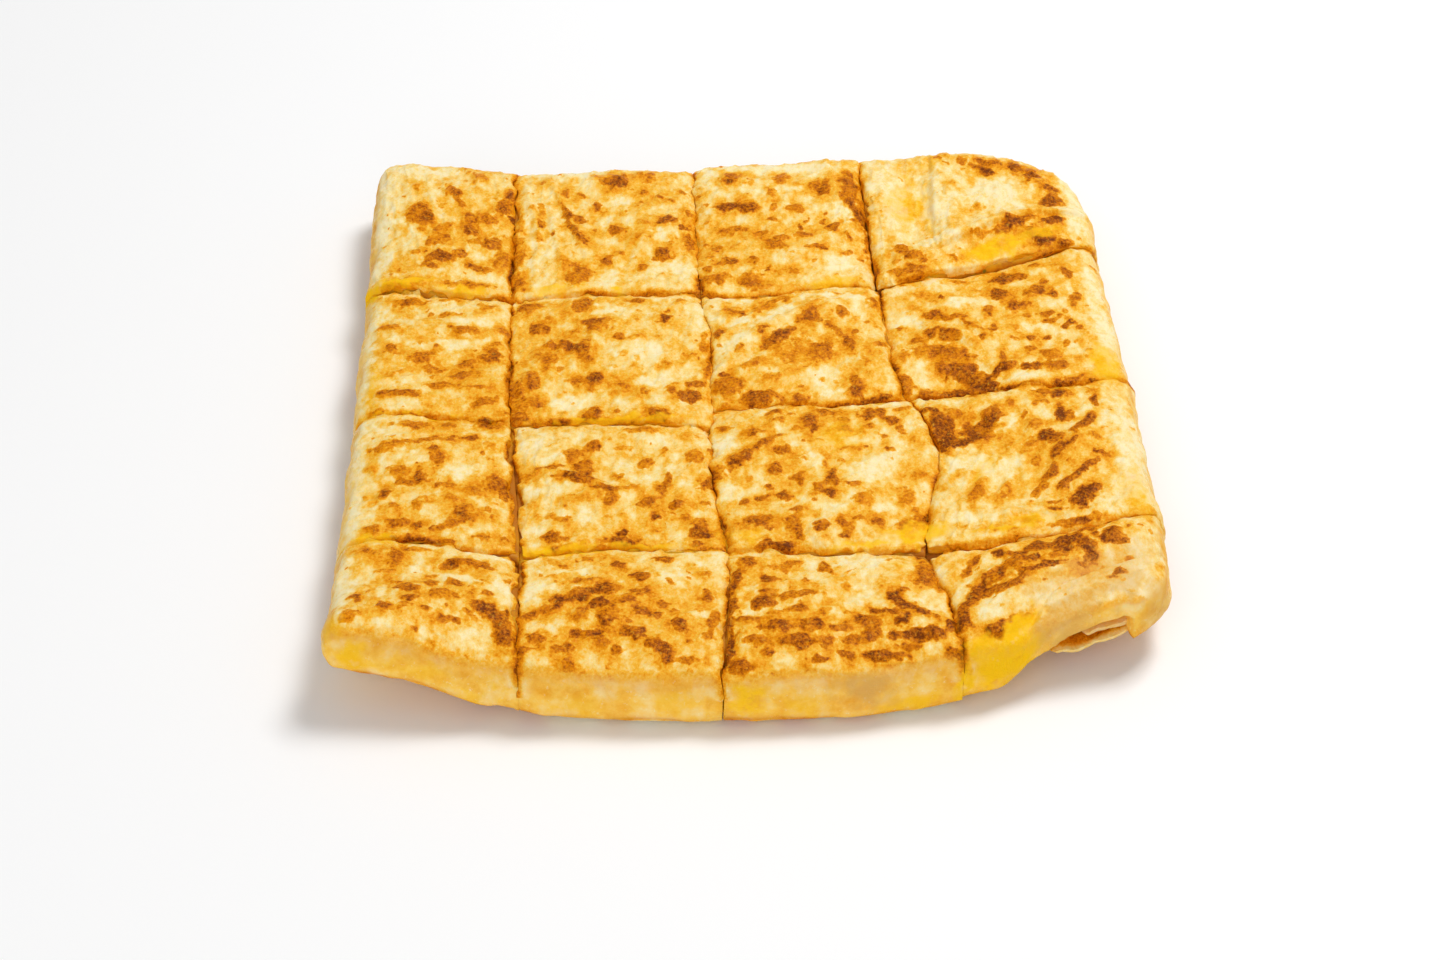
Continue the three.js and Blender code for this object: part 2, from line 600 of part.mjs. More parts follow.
// From the underside up to the top, at one end of the folded sides.
function profile(skin, place, topCount, bottomCount) {
  const end = place === 'start' ? skin.span.from : skin.span.to;
  const [topHere] = rimOf(skin.top, end * topCount, end * topCount);
  const [bottomHere] = rimOf(skin.bottom, end * bottomCount, end * bottomCount);
  const onRings = skin.rings.map((ring) => (place === 'start' ? ring[0] : ring[ring.length - 1]));
  return [bottomHere, ...onRings.reverse(), topHere];
}

const SIDES = ['front', 'right', 'back', 'left'];

function wrappedCrust(square) {
  const body = new Body();
  const outside = topPoints(square);
  const outer = makeSkin(body, square, OUTSIDE, outside, false);
  const inner = makeSkin(body, square, CAVITY, outside, false);
  body.sheet(outer.top, false);
  body.sheet(outer.bottom, true);
  body.sheet(inner.top, true);
  body.sheet(inner.bottom, false);
  sideBands(body, outer, FINE, COARSE, false);
  sideBands(body, inner, COARSE, COARSE, true);
  SIDES.forEach((side, k) => {
    if (square.folded[side]) return;
    body.band(rimOf(inner.top, k * COARSE, (k + 1) * COARSE), rimOf(outer.top, k * FINE, (k + 1) * FINE));
    body.band(rimOf(outer.bottom, k * COARSE, (k + 1) * COARSE),
      rimOf(inner.bottom, k * COARSE, (k + 1) * COARSE));
  });
  body.band(profile(outer, 'start', FINE, COARSE), profile(inner, 'start', COARSE, COARSE));
  body.band(profile(inner, 'end', COARSE, COARSE), profile(outer, 'end', FINE, COARSE));
  return body.geometry();
}

function looseSheet(square, which) {
  const body = new Body();
  const outside = topPoints(square);
  const outer = makeSkin(body, square, OUTSIDE, outside, false);
  const inner = makeSkin(body, square, CAVITY, outside, false);
  const isTop = which === 'top';
  body.sheet(isTop ? outer.top : outer.bottom, !isTop);
  body.sheet(isTop ? inner.top : inner.bottom, isTop);
  SIDES.forEach((side, k) => {
    const innerRim = rimOf(inner[which], k * COARSE, (k + 1) * COARSE);
    if (isTop) body.band(innerRim, rimOf(outer.top, k * FINE, (k + 1) * FINE));
    else body.band(rimOf(outer.bottom, k * COARSE, (k + 1) * COARSE), innerRim);
  });
  return withoutLoosePoints(body).geometry();
}

// Drops the points that no face uses.
function withoutLoosePoints(body) {
  const kept = new Body();
  const newIndex = new Map();
  for (const i of body.index) {
    if (!newIndex.has(i)) newIndex.set(i, kept.point(body.at(i).toArray()));
    kept.index.push(newIndex.get(i));
  }
  return kept;
}

function filling(square) {
  const body = new Body();
  const skin = makeSkin(body, square, FILLING, topPoints(square), true);
  body.sheet(skin.top, false);
  body.sheet(skin.bottom, true);
  const ring = [...skin.rings[0], skin.rings[0][0]];
  const topRim = rimOf(skin.top, 0, 4 * COARSE);
  const bottomRim = rimOf(skin.bottom, 0, 4 * COARSE);
  for (let k = 0; k < 4; k += 1) {
    const part = (row) => row.slice(k * COARSE, (k + 1) * COARSE + 1);
    body.band(part(ring), part(topRim));
    body.band(part(bottomRim), part(ring));
  }
  return body.geometry();
}

// ---------- the scene graph ----------

const dough = (name) => new THREE.MeshStandardMaterial({ name, color: CRUST_COLOUR, roughness: 0.55,
  metalness: 0 });
const egg = (name) => new THREE.MeshStandardMaterial({ name, color: FILLING_COLOUR, roughness: 0.45,
  metalness: 0 });

function addPiece(group, name, geometry, material) {
  const mesh = new THREE.Mesh(geometry, material(name));
  mesh.name = name;
  group.add(mesh);
}

const murtabak = new THREE.Group();
murtabak.name = 'murtabak';

for (let row = 0; row < SQUARES_A_SIDE; row += 1) {
  for (let column = 0; column < SQUARES_A_SIDE; column += 1) {
    const square = makeSquare(row, column);
    if (foldedSpan(square)) {
      addPiece(murtabak, `crust_${square.name}`, wrappedCrust(square), dough);
    } else {
      addPiece(murtabak, `crust_top_${square.name}`, looseSheet(square, 'top'), dough);
      addPiece(murtabak, `crust_bottom_${square.name}`, looseSheet(square, 'bottom'), dough);
    }
    addPiece(murtabak, `filling_${square.name}`, filling(square), egg);
  }
}

// The origin lies under the middle of the finished outline.
const extent = new THREE.Box3().setFromObject(murtabak);
murtabak.position.set(-(extent.min.x + extent.max.x) / 2, -(extent.min.y + extent.max.y) / 2, 0);

export default murtabak;
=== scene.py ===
"""A murtabak cut four by four: the finish of its dough and its egg, laid round the fixed frame."""

import math

import bpy
import numpy as np
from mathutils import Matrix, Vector
from mathutils.bvhtree import BVHTree
from mathutils.kdtree import KDTree


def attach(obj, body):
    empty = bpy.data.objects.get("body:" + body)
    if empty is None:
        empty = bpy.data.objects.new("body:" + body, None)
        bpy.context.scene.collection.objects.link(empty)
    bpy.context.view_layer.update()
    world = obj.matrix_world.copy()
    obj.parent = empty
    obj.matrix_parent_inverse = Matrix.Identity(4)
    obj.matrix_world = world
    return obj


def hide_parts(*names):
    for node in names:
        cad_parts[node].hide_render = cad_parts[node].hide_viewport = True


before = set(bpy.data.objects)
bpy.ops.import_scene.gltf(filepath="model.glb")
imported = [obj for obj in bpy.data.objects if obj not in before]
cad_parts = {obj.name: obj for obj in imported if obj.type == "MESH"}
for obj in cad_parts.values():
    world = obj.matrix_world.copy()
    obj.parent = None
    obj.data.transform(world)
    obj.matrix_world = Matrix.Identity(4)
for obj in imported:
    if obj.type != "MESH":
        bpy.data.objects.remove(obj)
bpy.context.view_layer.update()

bl_info = {
    "name": "Murtabak",
    "version": (1, 0, 0),
    "blender": (4, 5, 0),
    "location": "3D View > Sidebar > Murtabak",
    "description": "Shapes and finishes a murtabak that is cut into sixteen squares",
    "category": "Object",
}

MM = 0.001
SQUARES = [f"r{row}c{column}" for row in range(1, 5) for column in range(1, 5)]
INNER_SQUARES = ("r2c2", "r2c3", "r3c2", "r3c3")
OUTER_SQUARES = [square for square in SQUARES if square not in INNER_SQUARES]

# The directions in which a square's dough is folded round and not cut.
FOLDED = {"r1": (0, 1), "r4": (0, -1), "c1": (-1, 0), "c4": (1, 0)}

OUTSIDE, CUT_FACE = 0, 1             # a piece's material slots

# Places are scaled by this before the patterns of browning are laid out, which draws them out along y.
DRAWN = (1.0, 0.66, 1.0)

# Griddle marks of each square: place x and y, length, width, all in mm, turn in degrees, and depth of
# colour from 0, pale, to 1, nearly black.
MARKS = {
    "r1c1": [
        (-72, 100.5, 9, 5.5, 90, .5), (-79.5, 91.5, 5, 4.5, 0, .7), (-77.5, 86.5, 9, 2.8, -62, .65),
        (-74.6, 79, 6, 3.6, 85, .7), (-74.6, 73.5, 6, 5, 90, .75), (-89, 79.5, 12, 6.5, 108, .6),
        (-85.6, 80, 11, 3.6, 108, .55), (-80.5, 75.5, 7, 3, 12, .5), (-69.5, 79, 8, 6, 0, .45),
        (-65.3, 85.5, 7, 4, 75, .65), (-63, 80, 5, 3, 90, 1), (-62.8, 90, 8, 2.5, 90, .8),
        (-68, 68, 7, 6, 0, .7), (-73, 68, 5, 4, 0, .4), (-84.5, 68, 6, 4, 60, .5), (-82, 60, 8, 6, 10, .8),
        (-85, 56, 5, 4, 0, .7), (-76.5, 62.5, 4.5, 4, 0, .55), (-73, 56.5, 8, 2.6, -5, .6),
        (-68.5, 55.5, 4, 3, 0, .5), (-93, 54, 3.5, 2, 80, .4), (-88.5, 62, 3.5, 5, 0, .45),
        (-82, 70, 9, 4, -60, .45), (-90, 48.5, 12, 4, 0, .5), (-75, 48, 16, 4, -4, .5),
        (-89.5, 93, 4, 2.5, 90, .35), (-65, 60, 5, 9, 0, .4),
    ],
    "r1c2": [
        (-33, 98, 9, 8, 20, .62), (-33, 97, 4, 5, 0, .6), (-23.5, 101, 6.5, 6, 0, .5),
        (-47.5, 93, 3, 3.4, 0, .6), (-42.8, 91.5, 3.4, 2.6, 90, .65), (-37.5, 86.5, 5, 2.8, 90, .75),
        (-53.5, 98.5, 4, 2, 60, .4), (-24.5, 92.5, 3, 3.4, 0, .65), (-13.5, 93.5, 2.8, 2.8, 0, .65),
        (-20, 90, 1.6, 2, 0, .55), (-17, 88.5, 1.6, 2, 0, .55), (-29.5, 84, 2.2, 2.2, 0, .5),
        (-47.2, 82.5, 11, 2.6, -76, .8), (-43.6, 80, 6, 4, -20, .65), (-44.4, 73.5, 9, 2.6, -66, .75),
        (-42.4, 69, 6, 2.4, -55, .65), (-54, 84, 6, 2.6, 75, .45), (-54.6, 77, 7, 2.6, 85, .5),
        (-54.2, 71, 6, 2.4, 80, .45), (-32.6, 73.6, 5.6, 4, -10, .72), (-35.6, 59.6, 5, 3, 75, .75),
        (-26, 56.6, 4, 3.4, 90, .55), (-19.6, 62.4, 7, 5, 90, .75), (-31.8, 63.6, 2, 2, 0, .45),
        (-18, 77.6, 7.6, 4, -5, .72), (-13.4, 74.6, 6, 3, -42, .75), (-12.2, 68, 9, 2.6, 88, .6),
        (-12.5, 82, 3, 2, 90, .75), (-15.5, 84, 2, 1.6, 0, .55), (-43.5, 52, 9, 7, 80, .62),
        (-46.5, 58, 5, 4, 0, .4), (-45.5, 63.5, 5, 2, -60, .35), (-28, 43.5, 7, 3, -8, .85),
        (-60, 66, 30, 4, 90, .5), (-60, 50, 10, 5, 90, .6), (-38, 60, 3, 2, 0, .4), (-25, 77, 3, 4, 0, .4),
        (-17.5, 68, 2, 2, 0, .3), (-20.5, 53, 2, 3, 0, .3), (-57, 85, 3, 2, 50, .4),
        (-26.5, 70, 5, 4, 0, .3),
    ],
    "r1c3": [
        (0.4, 98, 6, 7.5, 0, .55), (0.2, 97, 3, 2.6, 0, .95), (15, 98, 7, 6, 30, .62),
        (6.6, 96, 2, 3, 0, .4), (11.6, 90, 5.4, 2.6, 95, .62), (24.4, 94, 5, 4, 60, .75),
        (27.4, 91.6, 9, 3, 74, .72), (-1, 84, 7.4, 4.6, 8, .85), (5.6, 82.6, 7, 5.6, 30, .82),
        (12.4, 83, 4, 2.4, 80, .6), (18.6, 82.6, 5.4, 4.6, 0, .75), (-9, 91, 2.4, 2.4, 0, .5),
        (12, 77.4, 4, 3, 20, .72), (19.6, 73.4, 4, 2.2, 90, .85), (21.6, 77, 2, 1.6, 60, .6),
        (26, 76, 2.6, 1.6, 80, .8), (29, 72.6, 5, 4, 70, .8), (20, 69.5, 7, 4, 0, .55),
        (-1, 73, 10, 3, 5, .62), (8, 71, 4.4, 3, 20, .62), (14, 68, 6, 4, 0, .5), (11.6, 64.6, 6, 5, 0, .6),
        (-4, 64.6, 4.4, 2.6, 10, .55), (-8, 67, 3, 2, 0, .5), (22.6, 63, 5, 2.4, -6, .7),
        (25.2, 63, 2.2, 2.2, 0, .85), (32, 62, 3.4, 2.6, 20, .7), (-1, 57.6, 6.4, 3, 8, .75),
        (5.6, 58, 4.4, 3, 80, .7), (23, 57, 3, 2, 0, .5), (16.6, 53, 3, 2.4, 80, .45),
        (9, 53.6, 2.6, 2, 0, .72), (4, 50, 9, 6, 60, .5), (-6, 50, 8, 6, 0, .6), (-7, 55, 3, 4, 0, .55),
        (8, 47, 8, 3, 0, .45), (34.6, 93, 17, 5.6, 88, .62), (36.4, 82, 15, 4, 84, .72),
        (38, 70, 15, 2.4, 88, .75), (32.6, 96, 3.4, 2.4, 80, .8), (36, 98, 4, 2, 90, .8),
        (34.6, 85, 3, 2.4, 0, .85), (36.6, 81, 3, 2, 70, .8), (-7, 61, 3, 2, 0, .45), (2, 66, 3, 2, 0, .35),
        (17, 60, 3, 2.5, 0, .35), (-7, 78, 2, 2, 0, .4), (22, 90, 2, 2, 0, .3),
    ],
    "r1c4": [
        (62, 105.5, 4, 2, -70, .65), (63.6, 102.6, 3, 1.6, -50, .55), (68.6, 103, 3.4, 2, -60, .62),
        (72.4, 99.6, 6.6, 3, -50, .75), (75.2, 97, 5, 3.6, -70, .82), (75, 102, 9, 2.6, -30, .62),
        (83.4, 99.6, 5.6, 3, 85, .85), (79, 101, 4, 3, -20, .55), (88, 93.6, 6.6, 4, -28, .88),
        (91.6, 87.6, 4.4, 2.6, -40, .75), (87, 97, 6, 4, -40, .5), (91.6, 81, 7.6, 6, 20, .88),
        (70.6, 79, 4.4, 4, 0, .32), (80, 70, 6, 4.6, 20, .85), (76, 66.6, 6, 4, 20, .6),
        (71, 66, 9, 3, 18, .5), (91, 71, 8.6, 4, 6, .92), (88, 63.6, 7.6, 6, 30, .9),
        (93, 61.4, 4.6, 4, 0, .85), (83, 66, 7, 5, 0, .62), (85, 72, 5, 2.4, 20, .6),
        (46.6, 60.4, 6.4, 4, 20, .66), (50, 57, 6, 5, -30, .6), (53.6, 55, 4, 3, 90, .55),
        (45, 55.6, 4, 3, 0, .5), (48, 51.4, 16, 3.4, 2, .55), (61.6, 55, 3.4, 3, 0, .4),
        (74, 104, 26, 5, -18, .25), (90, 88, 18, 6, -58, .3), (75, 61, 18, 6, 16, .3),
        (63, 88, 3, 7, 0, .12), (51, 86, 14, 8, 85, .25),
    ],
    "r2c1": [
        (-90, 40, 9, 7, 0, .6), (-78, 41.6, 8, 4, -6, .5), (-69, 37.6, 7, 6, 0, .55),
        (-84, 34, 3, 2.6, 90, .65), (-78, 33, 8, 2.6, 2, .38), (-94, 27.4, 8, 5, -6, .5),
        (-74, 25.4, 9, 5, -6, .62), (-63, 26.6, 4, 3, 0, .5), (-93.4, 17, 6, 4, 80, .65),
        (-85, 14, 10, 6, 10, .52), (-82, 9.4, 7, 3, 4, .55), (-91, 7.4, 5, 3, 30, .42),
        (-67, 15, 8, 6, 38, .75), (-73.4, 11, 8, 4, 40, .55), (-74.4, 6, 7, 3.6, 20, .55),
        (-79, 1.6, 14, 2.6, 3, .5), (-90, -2.4, 11, 4, -4, .72), (-95, -3, 4, 4, 0, .5),
        (-68, -5, 7, 4, 22, .66), (-71, 0.4, 9, 2, -8, .42), (-96, -10, 4, 3, 70, .62),
        (-88, -11, 10, 2.6, 0, .55), (-78.4, -12, 1.8, 1.4, 0, 1), (-67, -12, 8, 3, -16, .5),
        (-86, 20, 6, 2.4, 5, .3), (-66, 20, 5, 2, 30, .5),
    ],
    "r2c2": [
        (-57, 38.4, 9, 6, 10, .52), (-43, 38.8, 9, 7, 60, .66), (-15, 40.4, 5, 3, 0, .45),
        (-27.5, 41, 6, 2.6, 0, .75), (-54, 28.2, 6.6, 5, 14, .7), (-39.8, 29, 7, 5, 10, .72),
        (-38, 28, 10, 7, 10, .5), (-20, 31.6, 5, 4, 60, .8), (-28, 31, 4, 2.2, 90, .38),
        (-33, 22.6, 3.6, 3, 0, .62), (-28, 22.6, 4.4, 3, 20, .5), (-22, 23.4, 2, 2, 0, .36),
        (-51, 20.4, 5, 4, 60, .6), (-46.4, 19.2, 5.4, 5, 0, .75), (-42, 17, 8, 4.6, -70, .6),
        (-41, 12.4, 4, 3, 0, .45), (-52, 12.4, 9, 8, 0, .42), (-32, 14.6, 5, 3, 70, .36),
        (-28, 11, 7, 2.6, 80, .3), (-22, 10, 2, 2, 0, .32), (-15.4, 15.4, 2.6, 1.6, 90, .34),
        (-13, 24, 4, 2, 90, .3), (-38, 4.6, 4.6, 4, 0, .75), (-44, 4, 8, 3, 5, .42),
        (-40, 3, 10, 7, 0, .35), (-32, 1, 4.4, 3.2, -8, .66), (-25.4, -2.4, 3.4, 3.4, 0, .66),
        (-12.6, 1.6, 6.4, 4, 10, .85), (-14, -3.6, 7.4, 5, 0, .92), (-18.6, -2, 4, 4, 0, .7),
        (-56, 3, 10, 6, 90, .52), (-60, 0, 6, 4.6, 90, .55), (-57, -5, 8, 6, 20, .46),
        (-59, -11, 5, 5, 0, .5), (-39.4, -10, 8, 4.6, 62, .72), (-33, -9.4, 3, 1.8, 90, .42),
        (-28.6, -12, 3.4, 2, 20, .5), (-22.4, -12, 7, 4.6, -6, .68), (-54, -13.6, 7, 2, 2, .45),
        (-9.6, 20, 12, 2.2, 88, .45), (-9, 8, 10, 2.2, 90, .55), (-47, -1, 6, 3, 20, .3),
        (-51, 33, 4, 2, 0, .35), (-25, 5, 2, 2, 0, .25), (-44, 25, 6, 3, 0, .35), (-35, 9, 4, 2.5, 0, .35),
    ],
    "r2c3": [
        (12, 39.6, 8, 4, 20, .6), (7, 35, 7, 4, 42, .52), (-3, 34, 3.6, 3, 0, .34),
        (6.6, 23.6, 4, 3.4, 10, .75), (-5.6, 23.6, 4.4, 3, 70, .75), (28.6, 32, 5.4, 4, 80, .66),
        (32, 23, 3, 2.2, 70, .62), (38, 17, 5, 4, 60, .72), (-4.4, 5, 2.4, 1.8, 0, .8),
        (11.6, 20.6, 15, 4.6, 42, .8), (19, 29.4, 8, 4.6, 48, .66), (15, 14, 24, 18, 30, .36),
        (24.6, 26, 3.6, 3, 0, .72), (27.2, 22, 8, 3, -56, .7), (30, 16.6, 6, 4, -80, .62),
        (21, 14, 10, 8, 0, .35), (-4, 0, 10, 8, 30, .62), (4.6, -5, 12, 5.6, 0, .75),
        (14.6, -6, 8, 5, 0, .62), (2, 8, 9, 4, 42, .48), (29.6, -3, 6, 4.6, 45, .72),
        (34, -6, 7, 2, 4, .75), (30, 1.6, 5, 4, 60, .5), (38, -4.6, 6, 2.6, 4, .7),
        (21.6, 1.6, 2.6, 2.6, 0, .4), (25.6, 1, 2.6, 2.6, 0, .4), (8, 2, 8, 6, 60, .4),
        (33, 9, 5, 8, 0, .35), (37, 37, 4, 8, 0, .45), (28, 42, 6, 2, -10, .4), (22, 36, 6, 2, 15, .3),
        (0, 15, 3, 6, 0, .3), (34, 27, 5, 4, 0, .3),
    ],
    "r2c4": [
        (74, 47, 7, 6, 60, .72), (72.2, 39, 8, 4, 100, .82), (78, 47.4, 5, 4, 0, .62),
        (82, 39, 7.6, 5, 10, .92), (85.2, 43, 3.4, 2.2, 80, .75), (86.6, 37, 3.4, 3, 0, .82),
        (75, 32, 7, 4, 60, .7), (91.6, 46.6, 6, 3.4, 100, .85), (80, 46, 3.4, 2.2, 0, .62),
        (93, 35, 4.6, 3, 80, .72), (92, 31.6, 3, 2, 40, .6), (56.2, 38.6, 2.4, 2.4, 0, .9),
        (62, 47, 5, 3, 0, .52), (50, 40, 5, 3, 20, .34), (53, 31, 6, 2.8, -8, .75),
        (58.4, 28.6, 9, 2.8, -20, .68), (63.2, 24, 9, 2.4, -50, .72), (65, 18, 3.4, 2.4, 0, .7),
        (68.8, 30, 7, 2.4, 88, .62), (69.4, 22, 5, 2, 88, .55), (52, 22, 5, 4, -20, .6),
        (57, 20, 9, 3, -34, .72), (47.6, 19, 7, 2.8, 34, .5), (52, 14, 15, 6, 6, .52),
        (57, 12, 8, 5, 20, .45), (78, 27.4, 3, 2.2, 0, .55), (84, 27.6, 3, 2.2, 0, .55),
        (86, 25, 6, 3, 10, .75), (90, 22, 3.4, 3, 0, .8), (92, 20, 2.6, 2.4, 0, .72),
        (79, 17.4, 2.8, 2.6, 0, .8), (83, 17, 2.8, 2.4, 0, .85), (88, 14, 3, 2.2, 80, .8),
        (78, 12, 3.4, 3, 0, .62), (83, 9, 7, 6, 0, .5), (74, 17, 3, 2, 0, .5), (59, 5, 9, 7, 10, .85),
        (63, 0.4, 9, 8, 0, .95), (58, -3, 9, 4, 0, .92), (66, -2, 5, 5, 0, .95), (70, 4.4, 8, 3.6, 36, .92),
        (77, 3.4, 8, 3.4, 0, .92), (84, 4, 7, 4, 0, .62), (70.2, 9, 8, 2.4, 84, .62),
        (86, -2.6, 9, 2.4, 24, .75), (93, -2.4, 3.4, 1.8, 0, .72), (71, -5.2, 7, 2.4, 0, .85),
        (50, -3, 9, 4, 0, .48), (43.4, 1, 9, 5, -72, .7), (44, 12, 4, 6, 0, .35), (54, 7, 6, 5, 0, .55),
        (75, 22, 4, 3, 0, .45), (84, 52, 6, 3, 20, .45), (67, 40, 4, 2, 0, .35), (93, 8, 5, 6, 0, .3),
        (91, 14, 3, 3, 0, .4), (45, 25, 4, 2, 60, .3), (62, 10, 6, 4, 0, .5), (79, 33, 4, 3, 0, .5),
        (48, 33, 4, 3, 0, .25),
    ],
    "r3c1": [
        (-87, -16, 11, 4, -3, .56), (-67, -14, 8, 4, 0, .66), (-77, -15.4, 6, 4, 0, .5),
        (-92, -26, 11, 5, 4, .52), (-82, -23, 19, 2.6, 8, .52), (-72, -21, 7, 2.6, 4, .62),
        (-66, -24, 5, 3, 0, .5), (-79.6, -30, 6, 4, -70, .66), (-66, -30, 2.6, 2, 0, .36),
        (-89, -36, 7, 6, 0, .5), (-87, -41, 6.6, 4, 0, .66), (-83, -38.4, 8, 3, 100, .66),
        (-92, -46, 6.4, 4, 80, .66), (-77, -42, 10, 2.8, 6, .56), (-70, -43, 8, 4, -12, .5),
        (-64, -39, 8, 6, 60, .6), (-62, -43, 6, 3, 90, .72), (-83, -49, 6, 4.6, 60, .46),
        (-89, -51, 5, 5, 0, .46), (-66, -51, 3.4, 2, 20, .5), (-72, -52, 6.4, 6, 30, .52),
        (-88, -57, 6.6, 4, 0, .6), (-83.6, -58, 3.4, 3, 0, .76), (-76, -58, 7, 3.6, 8, .62),
        (-70, -55, 5, 4, 40, .56), (-94, -60, 5, 5, 0, .45), (-67, -62.4, 5.4, 3, 0, .6),
        (-62, -62.4, 3.4, 3, 0, .6), (-82, -63.6, 16, 1.8, -2, .5), (-96, -34, 3, 5, 0, .25),
        (-75, -47, 6, 3, 10, .4), (-78, -36, 4, 2, 0, .3),
    ],
    "r3c2": [
        (-39.6, -24.4, 5.4, 5, 0, .62), (-45, -28, 7, 6, 0, .48), (-42, -33, 7, 7, 0, .72),
        (-42.4, -38.6, 10, 4.6, -22, .88), (-50, -33.6, 9, 2, 8, .66), (-48, -37.4, 6, 2, 0, .7),
        (-37, -42.4, 8, 3, -22, .7), (-30, -42, 6.6, 3, 6, .62), (-57, -36, 7, 3, 0, .46),
        (-31.6, -25, 6.4, 3, 0, .5), (-13.4, -30, 8, 5, 90, .6), (-21, -26, 2.4, 2, 0, .52),
        (-26, -32, 5, 3.6, 30, .62), (-20.6, -39.6, 6.4, 3, 80, .75), (-10.6, -40, 6, 3, 80, .7),
        (-43, -47, 9, 5, 10, .36), (-35, -47.4, 5.4, 4, 80, .6), (-26, -48, 4.4, 4, 0, .66),
        (-18.6, -48.6, 4.4, 3.6, 0, .85), (-23.6, -53.6, 2.8, 2.6, 0, .8), (-11, -48, 3.4, 2, 0, .6),
        (-50, -53, 3.4, 3, 0, .4), (-49, -61, 7, 3, 0, .62), (-50, -59.4, 6, 2, 10, .66),
        (-31.8, -59, 3, 2.2, 20, 1), (-32, -62.4, 9, 4, 0, .7), (-24, -58.6, 2.4, 2, 0, .6),
        (-12.6, -59.6, 5.6, 4, 0, .9), (-13, -56, 5, 5, 0, .5), (-14, -64, 2.4, 2, 0, .7),
        (-61, -55, 3, 1.4, 90, .4), (-27, -18, 12, 4, 0, .45), (-36, -53, 4, 3, 0, .35),
        (-55, -47, 5, 5, 0, .3), (-17, -53, 4, 3, 0, .4), (-50, -24, 5, 2, 30, .3),
        (-46, -64, 10, 2, 0, .45), (-28, -63.6, 10, 2, -5, .5), (-33.4, -37, 3, 4, 0, .3),
        (-15, -20, 5, 3, 0, .25),
    ],
    "r3c3": [
        (8, -12.4, 5.6, 4, 0, .75), (9, -16, 5, 3, 20, .62), (17, -15.6, 6.4, 5, 90, .66),
        (22, -12, 7, 2.8, -22, .72), (26, -16, 4, 3, -40, .55), (34, -13.4, 8, 6, 0, .66),
        (38.6, -16.6, 4.6, 4, 0, .72), (40.6, -20.4, 4.4, 2.2, -50, .72), (33, -19, 3.4, 2, 80, .62),
        (25, -20.4, 7, 4, 0, .52), (-5, -17, 7, 2.4, -12, .56), (2, -20, 7, 4, -10, .46),
        (35, -23.4, 3.4, 2.2, 80, .66), (19, -24, 3, 2.2, 0, .52), (15, -25, 1.8, 1.6, 0, .6),
        (6, -25, 10, 3.4, 40, .62), (9.4, -28.2, 4.4, 3, 70, .76), (-2, -30.6, 10, 5, 28, .66),
        (-3.6, -33, 2.4, 2.2, 0, 1), (-7, -36, 8, 4.6, 60, .62), (7.4, -36, 5.4, 3.4, 100, .8),
        (13, -39.4, 5.4, 3.8, 80, .8), (21.4, -40, 8, 3.6, 84, .72), (20, -46, 3.8, 3, 0, .8),
        (26, -43, 6, 2, -8, .62), (18, -43, 5, 3, 60, .55), (4, -46.6, 4.6, 2.6, 10, .82),
        (8.6, -46.4, 3.8, 3.2, 0, .82), (-1, -48.4, 3.6, 3, 0, .76), (16, -49, 2.2, 2, 0, .6),
        (12, -52.4, 3.6, 2.8, 40, .76), (5, -43, 3.4, 2, 0, .52), (37, -28.4, 3.4, 1.8, 0, .7),
        (27, -28, 8, 3, 0, .4), (2.4, -57.4, 4.6, 4, 0, .82), (2, -57, 9, 6, 0, .56),
        (10, -57.6, 8, 4, 90, .66), (12, -60, 10, 2.8, 88, .66), (17, -60, 5, 4, 80, .78),
        (5, -65.6, 10, 4, 0, .9), (22.6, -57.6, 5, 4, 0, .62), (24, -61, 7, 4, 80, .5),
        (23, -63, 4.4, 2.6, 0, .75), (27, -56, 3.2, 3, 0, .62), (31.4, -57.6, 3.4, 3, 0, .62),
        (38, -59, 6, 4, 0, .42), (29, -49, 6, 5, 30, .45), (40, -48, 9, 6, 70, .4), (44, -39, 5, 4, 0, .34),
        (41, -58, 12, 8, 60, .42), (47, -65, 6, 4.6, 80, .6), (31, -20, 3, 6, 0, .35),
        (14, -32, 5, 3, 0, .3), (0, -40, 3, 3, 0, .35), (24, -33, 4, 3, 0, .3), (42, -12, 4, 4, 0, .4),
        (14, -20, 5, 3, 0, .4),
    ],
    "r3c4": [
        (51.4, -21, 16, 6, 100, .92), (50.4, -25, 10, 3.6, -72, 1), (55, -27, 10, 5, 14, .95),
        (60, -20.6, 11, 7, 26, .8), (64, -17, 10, 5, 62, .66), (60, -25, 8, 4, 20, .72),
        (49, -13.4, 5.6, 4, 0, .8), (55, -15, 6, 5, 0, .5), (83, -8, 4.6, 4, 0, .92),
        (91.6, -13, 5.4, 2.8, 88, .95), (82, -17.6, 7.4, 3, 84, .95), (84.4, -19, 5, 3, 60, .72),
        (78, -12, 4.6, 4, 0, .62), (73, -17, 4.6, 2.2, 80, .56), (90, -20, 3.6, 2.2, 40, .75),
        (87, -24, 10, 3.2, 60, .86), (78, -26.4, 6, 4, 60, .86), (79.4, -29.6, 5, 3, 30, .62),
        (84, -31, 5, 2.6, 50, .8), (80, -34.6, 7, 3, 60, .92), (90, -36.6, 3.6, 2.6, -20, .7),
        (73, -29, 5, 4, 60, .5), (76, -43, 10, 2.8, 54, .76), (73.4, -48, 8, 2.6, 54, .7),
        (87, -41, 7, 2.4, 46, .8), (83.4, -45, 9, 2.8, 46, .86), (80, -48, 4, 2.6, 40, .75),
        (83.2, -53.6, 10, 5, 62, 1), (86.4, -50.6, 4.6, 3.6, 20, .9), (76, -54.6, 2.6, 2.2, 0, .8),
